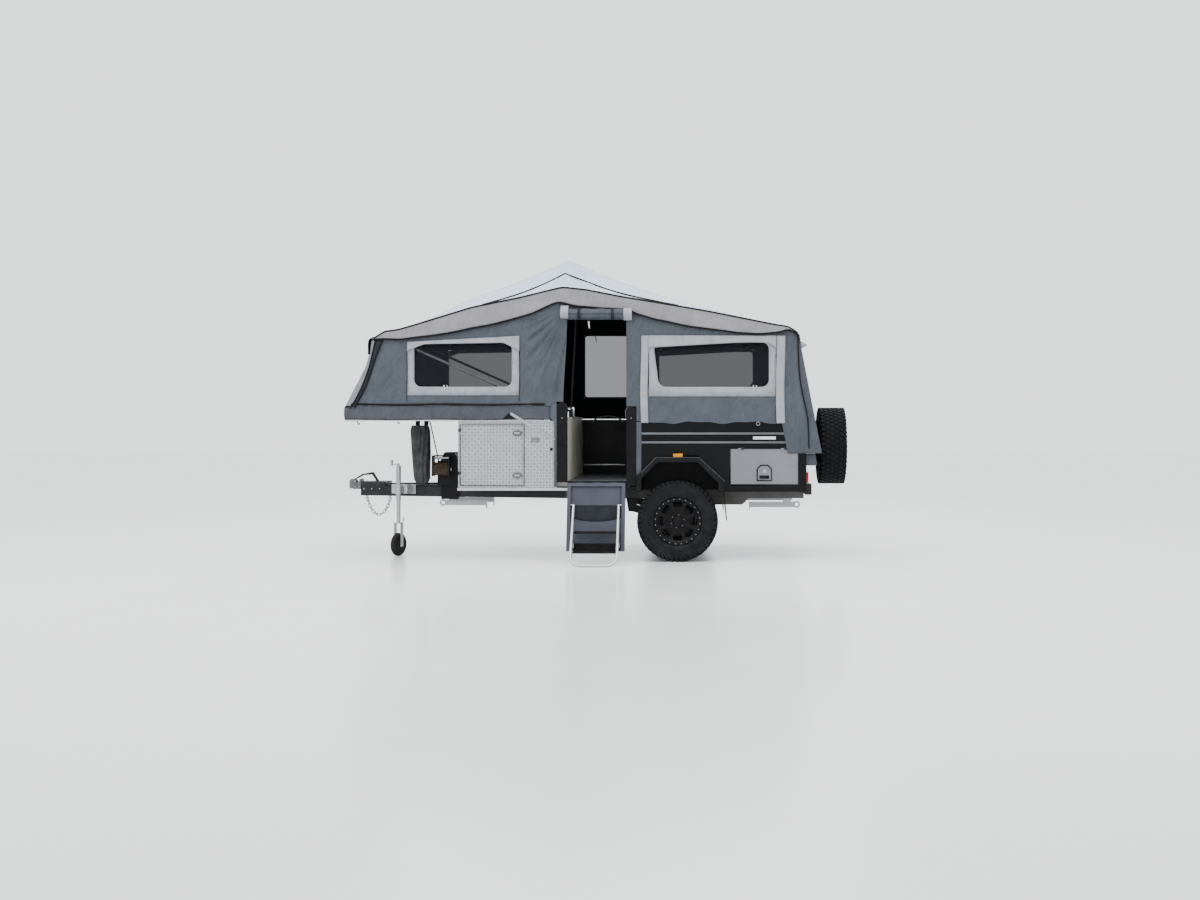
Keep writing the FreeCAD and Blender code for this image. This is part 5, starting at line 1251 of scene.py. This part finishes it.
def door_point(x, z, off):
    """A point on the floor of the entry door's recess, raised square to it by some millimetres."""
    lean, out, up = 0.2132, 0.978, 0.2085
    return at(x, -921 - (DOOR_TOP - z) * lean - off * out, z + off * up)


def make_door_details():
    """Dark sheet of painted shade in the door's recess, kick plate, panels and brackets on the folded-down
    entry door.
    """
    body = body_with("entry_door")
    left, right, top = 2326, 2804, 541

    # The dark sheet is painted shade for the shadow in the door's recess, bulging a little, with a curved
    # lower edge and webbing along its edges.
    def recess_shade(u, v):
        x = left + u * (right - left)
        low = 398 + 34 * abs(u * 2 - 1) ** 2.2
        belly = 4 * math.sin(math.pi * min(v + 0.12, 1)) * math.sin(math.pi * u) ** 0.4
        return door_point(x, low + v * (top - low), 2 + belly + math.sin(x / 31) * (1 - v))

    obj = piece("door_recess_shade", spread(60, 14, recess_shade), "canvas_dark", body, outward=False)
    modifier(obj, "SOLIDIFY", thickness=0.002, offset=0)
    for name, v in (("binding", 1), ("hem", 0)):
        tube_along("door_recess_shade_" + name, [recess_shade(u, v) for u in steps(20)], 2.5, "webbing", body)
    for name, low, high, material in (("kick", 124, 190, "black_plastic"), ("upper", 548, 716, "door_slate"),
                                      ("lower", 204, 384, "door_slate")):
        corners = [door_point(x, z, 1) for x, z in box_corners((2334, 2796, low, high))]
        bm = slab(corners, door_point(0, 300, 5) - door_point(0, 300, 1))[0]
        eased(piece("door_panel_" + name, bm, material, body), 2.0, 3)
    blocks("door_step_brackets", [(x, x + 22, -1092, -1056, 150, 196) for x in (2338, 2772)], 3, "zinc", body)
    bm = bmesh.new()
    for x in range(2350, 2800, 64):
        point = door_point(x, 734, 1)
        bar(bm, point, point + Vector((0, -0.004, 0.001)), 4, sides=10, end_radius=3)
    piece("door_rivets", bm, "zinc", body)


def make_body_details():
    """Latches and seals of the hatches, lamp bases, rivets, rails and trims of the body, and painted
    highlights along the arch flares' top edges.
    """
    latch = ((4109, 783), (4245, 783), (4245, 892), (4211, 929), (4143, 929), (4109, 892))
    flare_bolts = ((3010, 940), (3130, 988), (3343, 992), (3560, 988), (3700, 900), (2965, 800), (3765, 800))
    flare_highlight_line = ((2997, 858), (3135, 1005), (3549, 1005), (3798, 776))
    for side, label in SIDES:
        body = body_with("hatch_" + label)
        tube_along("latch_rim_" + label, on_side(closed(latch), side * 909), 6, "black_plastic", body,
                   straight=True)
        blocks("latch_handle_" + label, [(4130, 4224, side * 912 - 4, side * 912 + 4, 800, 832)], 4,
               "black_plastic", body, segments=3)
        stud("latch_barrel_" + label, at(4177, side * 907, 872), at(4177, side * 913, 872), 19, 17, "zinc",
             body, sides=28, ease=(1.2,))
        seal = closed(box_corners((3850, 4504, 743, 1090)))
        tube_along("hatch_seal_" + label, on_side(seal, side * 902), 5, "black_plastic", body, straight=True)
        plate("lamp_base_" + label, box_corners((4060, 4296, 1172, 1212)), side * BODY_OUT, side * 3,
              "black_plastic")
        eye = closed([(4118 + x, 1330 + up) for x, up in circle(16, 17)])
        tube_along("body_ring_" + label, on_side(eye, side * 909), 3, "zinc")
        bolts = [(x, side * 944, z) for x, z in flare_bolts]
        bolt_heads("flare_bolts_" + label, bolts, 7, 3, "black_plastic")
        blocks("tail_latch_" + label, [(4586, 4600, side * 852 - 26, side * 852 + 26, 786, 860)], 4, "zinc")
        # The lighter grey tube along the flare's top edge is a painted highlight where its upper face catches
        # the light.
        tube_along("flare_highlight_" + label, on_side(flare_highlight_line, side * 945), 4, "flare_highlight_grey", straight=True)
    for name, y, radius, line in (
            ("grab_rail_left", -846, 6.5, ((2262, 1486), (2322, 1482), (2336, 1450), (2334, 1404))),
            ("grab_rail_right", -846, 6.5, ((2868, 1490), (2846, 1476), (2840, 1440), (2844, 1392))),
            ("back_rail", 640, 7, ((2400, 1330), (2440, 1402), (2700, 1402), (2740, 1330)))):
        tube_along(name, on_side(line, y), radius, "frame_tube")
    blocks("far_side_strip", [(2295, 2743, 862, 870, 866, 880)], 2, "edge_aluminium")
    bolt_heads("post_rivets", [(2232, -916, 1384), (2896, -916, 1384)], 6, 3)


def make_front_details():
    """Winch with its rope, bolts of the coupling and hooks of the rolled cover."""
    rope_start, pitch, drum, thick, drum_y, drum_z = 896, 12.9, 60, 6.2, -330, 874
    bm = bmesh.new()
    for number in range(12):
        loose = drum + 2 * math.sin(number * 2.1)
        ring(bm, [(loose + out, along) for out, along in circle(8, thick)],
             at(rope_start + number * pitch, drum_y, drum_z), Vector((1, 0, 0)), 32)
    piece("winch_rope", bm, "rope_brown", angle=60)
    cheeks = [(x, x + 10, -402, -258, 800, 1010) for x in (878, 1046)]
    blocks("winch_cheeks", [*cheeks, (888, 1046, -300, -262, 1000, 1012)], 4, "drawbar_black")
    bm = bmesh.new()
    bar(bm, at(880, drum_y, 984), at(1052, drum_y, 984), 13, sides=20)
    bar(bm, at(1060, drum_y, drum_z), at(1068, drum_y, drum_z), 26, sides=24)
    piece("winch_shaft", bm, "zinc")
    bolt_heads("coupling_bolts", [(x, -62, z) for x in (30, 70) for z in (680, 735)] +
               [(x, -145, 664) for x in (140, 220, 300)], 8, 6)
    for name, x in (("a", 700), ("b", 786)):
        line = on_side(((x, 1306), (x - 4, 1340), (x + 14, 1362), (x + 26, 1340)), -210)
        tube_along("bundle_hook_" + name, line, 5, "black_plastic")


# Soft parts

def inflated(pad):
    """The pad as cloth blown up from inside, with the result kept as its mesh."""
    settings = modifier(pad, "CLOTH").settings
    settings.use_pressure = True
    settings.uniform_pressure_force = 4
    settings.effector_weights.gravity = 0
    settings.quality = 4
    scene = bpy.context.scene
    for step in range(1, 21):
        scene.frame_set(step)
    applied(pad)
    scene.frame_set(1)


def rounded_pad(name, low, high, material, voxel, cap):
    """Cushion between two corners: a bevelled block, blown up as cloth, with its points held to a cap."""
    inset = 0.5 * cap
    bm = bmesh.new()
    block(bm, low[0] + inset, high[0] - inset, low[1] + inset, high[1] - inset, low[2] + 1,
          high[2] - inset * 1.2)
    rounded(bm, 30, 4)
    pad = piece(name, bm, material, angle=80)
    modifier(pad, "REMESH", mode="VOXEL", voxel_size=voxel / 1000, use_smooth_shade=True)
    applied(pad)
    start = [vert.co.copy() for vert in pad.data.vertices]
    inflated(pad)
    floor, top = (low[2] + 1 - BALL_HEIGHT) / 1000, high[2] - BALL_HEIGHT
    centre = [(a + b) / 2 for a, b in zip(low, high)]
    for vert, first in zip(pad.data.vertices, start):
        move = vert.co - first
        if move.length > cap / 1000:
            vert.co = first + move * (cap / 1000 / move.length)
        if vert.co.z * 1000 > top - 45:
            across, deep = ((vert.co[way] * 1000 - centre[way]) / (high[way] - low[way]) * 2
                            for way in (0, 1))
            crown = (1 - abs(across) ** 3) * (1 - abs(deep) ** 3)
            vert.co.z += (9 * crown - 7) / 1000
        vert.co.z = max(vert.co.z, floor)
    shade(pad.data, 80)
    modifier(pad, "SUBSURF", levels=1, render_levels=1)
    return pad


def pad_piping(name, pad, low, high, height):
    """Piping round a cushion at one height, laid on its surface."""
    bm = bmesh.new()
    bm.from_mesh(pad.data)
    tree = BVHTree.FromBMesh(bm)
    bm.free()
    line = []
    corners = closed(box_corners((low[0], high[0], low[1], high[1])))
    for start, end in zip(corners, corners[1:]):
        for share in steps(12)[:-1]:
            x, y = (a + (b - a) * share for a, b in zip(start, end))
            line.append(tree.find_nearest(at(x, y, height))[0])
    tube_along(name, closed(line), 4, "piping")


def make_cushions():
    """Seats round the lounge and the mattress on the bed deck."""
    pads = []
    for name, low, high, material, voxel, cap in (
            ("seat_near", (2947, -865, 1110), (4029, -399, 1210), "cushion_cloth", 14, 22),
            ("seat_far", (2947, 399, 1110), (4029, 865, 1210), "cushion_cloth", 14, 22),
            ("seat_rear", (4033, -865, 1110), (4549, 865, 1210), "cushion_cloth", 14, 22),
            ("mattress", (262, -839, 1440), (2058, 839, 1570), "mattress_cloth", 20, 26)):
        pads.append(rounded_pad(name, low, high, material, voxel, cap))
        for tag, lift in (("top", -22), ("low", -78)):
            pad_piping(f"{name}_piping_{tag}", pads[-1], low, high, high[2] + lift)
    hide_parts("cushions")


def make_bundle():
    """Rolled cover that stands in its bag on the drawbar, wrinkled lengthwise."""
    bundle = piece("cover_bundle_cloth", merged("cover_bundle"), "bundle_cloth", outward=False)
    modifier(bundle, "REMESH", mode="VOXEL", voxel_size=0.007, use_smooth_shade=True)
    applied(bundle)
    centre_x, centre_y, core = 0.727, -0.210, 0.02
    for vert in bundle.data.vertices:
        out = Vector((vert.co.x - centre_x, vert.co.y - centre_y, 0))
        turn = math.atan2(out.y, out.x)
        z = vert.co.z
        push = 7.0 * noise.noise(Vector((math.cos(turn) * 3.4, math.sin(turn) * 3.4, z * 2.2)))
        push += 4.2 * math.sin(turn * 11 + 2.5 * math.sin(z * 7)) - 4.0
        if out.length > core:
            vert.co += out.normalized() * (push / 1000)
    shade(bundle.data, 80)
    modifier(bundle, "SUBSURF", levels=1, render_levels=1)
    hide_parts("cover_bundle")


def make_floor():
    """Plain studio floor, which isn't part of the trailer."""
    bm = bmesh.new()
    bmesh.ops.create_grid(bm, x_segments=2, y_segments=2, size=40, matrix=Matrix.Translation(at(2400, 0, 0)))
    mesh = bpy.data.meshes.new("studio_floor")
    bm.to_mesh(mesh)
    bm.free()
    mesh.materials.append(MATERIALS["studio_floor"])
    floor = bpy.data.objects.new("studio_floor", mesh)
    bpy.context.collection.objects.link(floor)


make_camera()
make_lights()
make_materials()
make_floor()
make_tent()
make_rigid_parts()
make_toolbox_details()
make_door_details()
make_body_details()
make_front_details()
make_cushions()
make_bundle()
make_wheels()
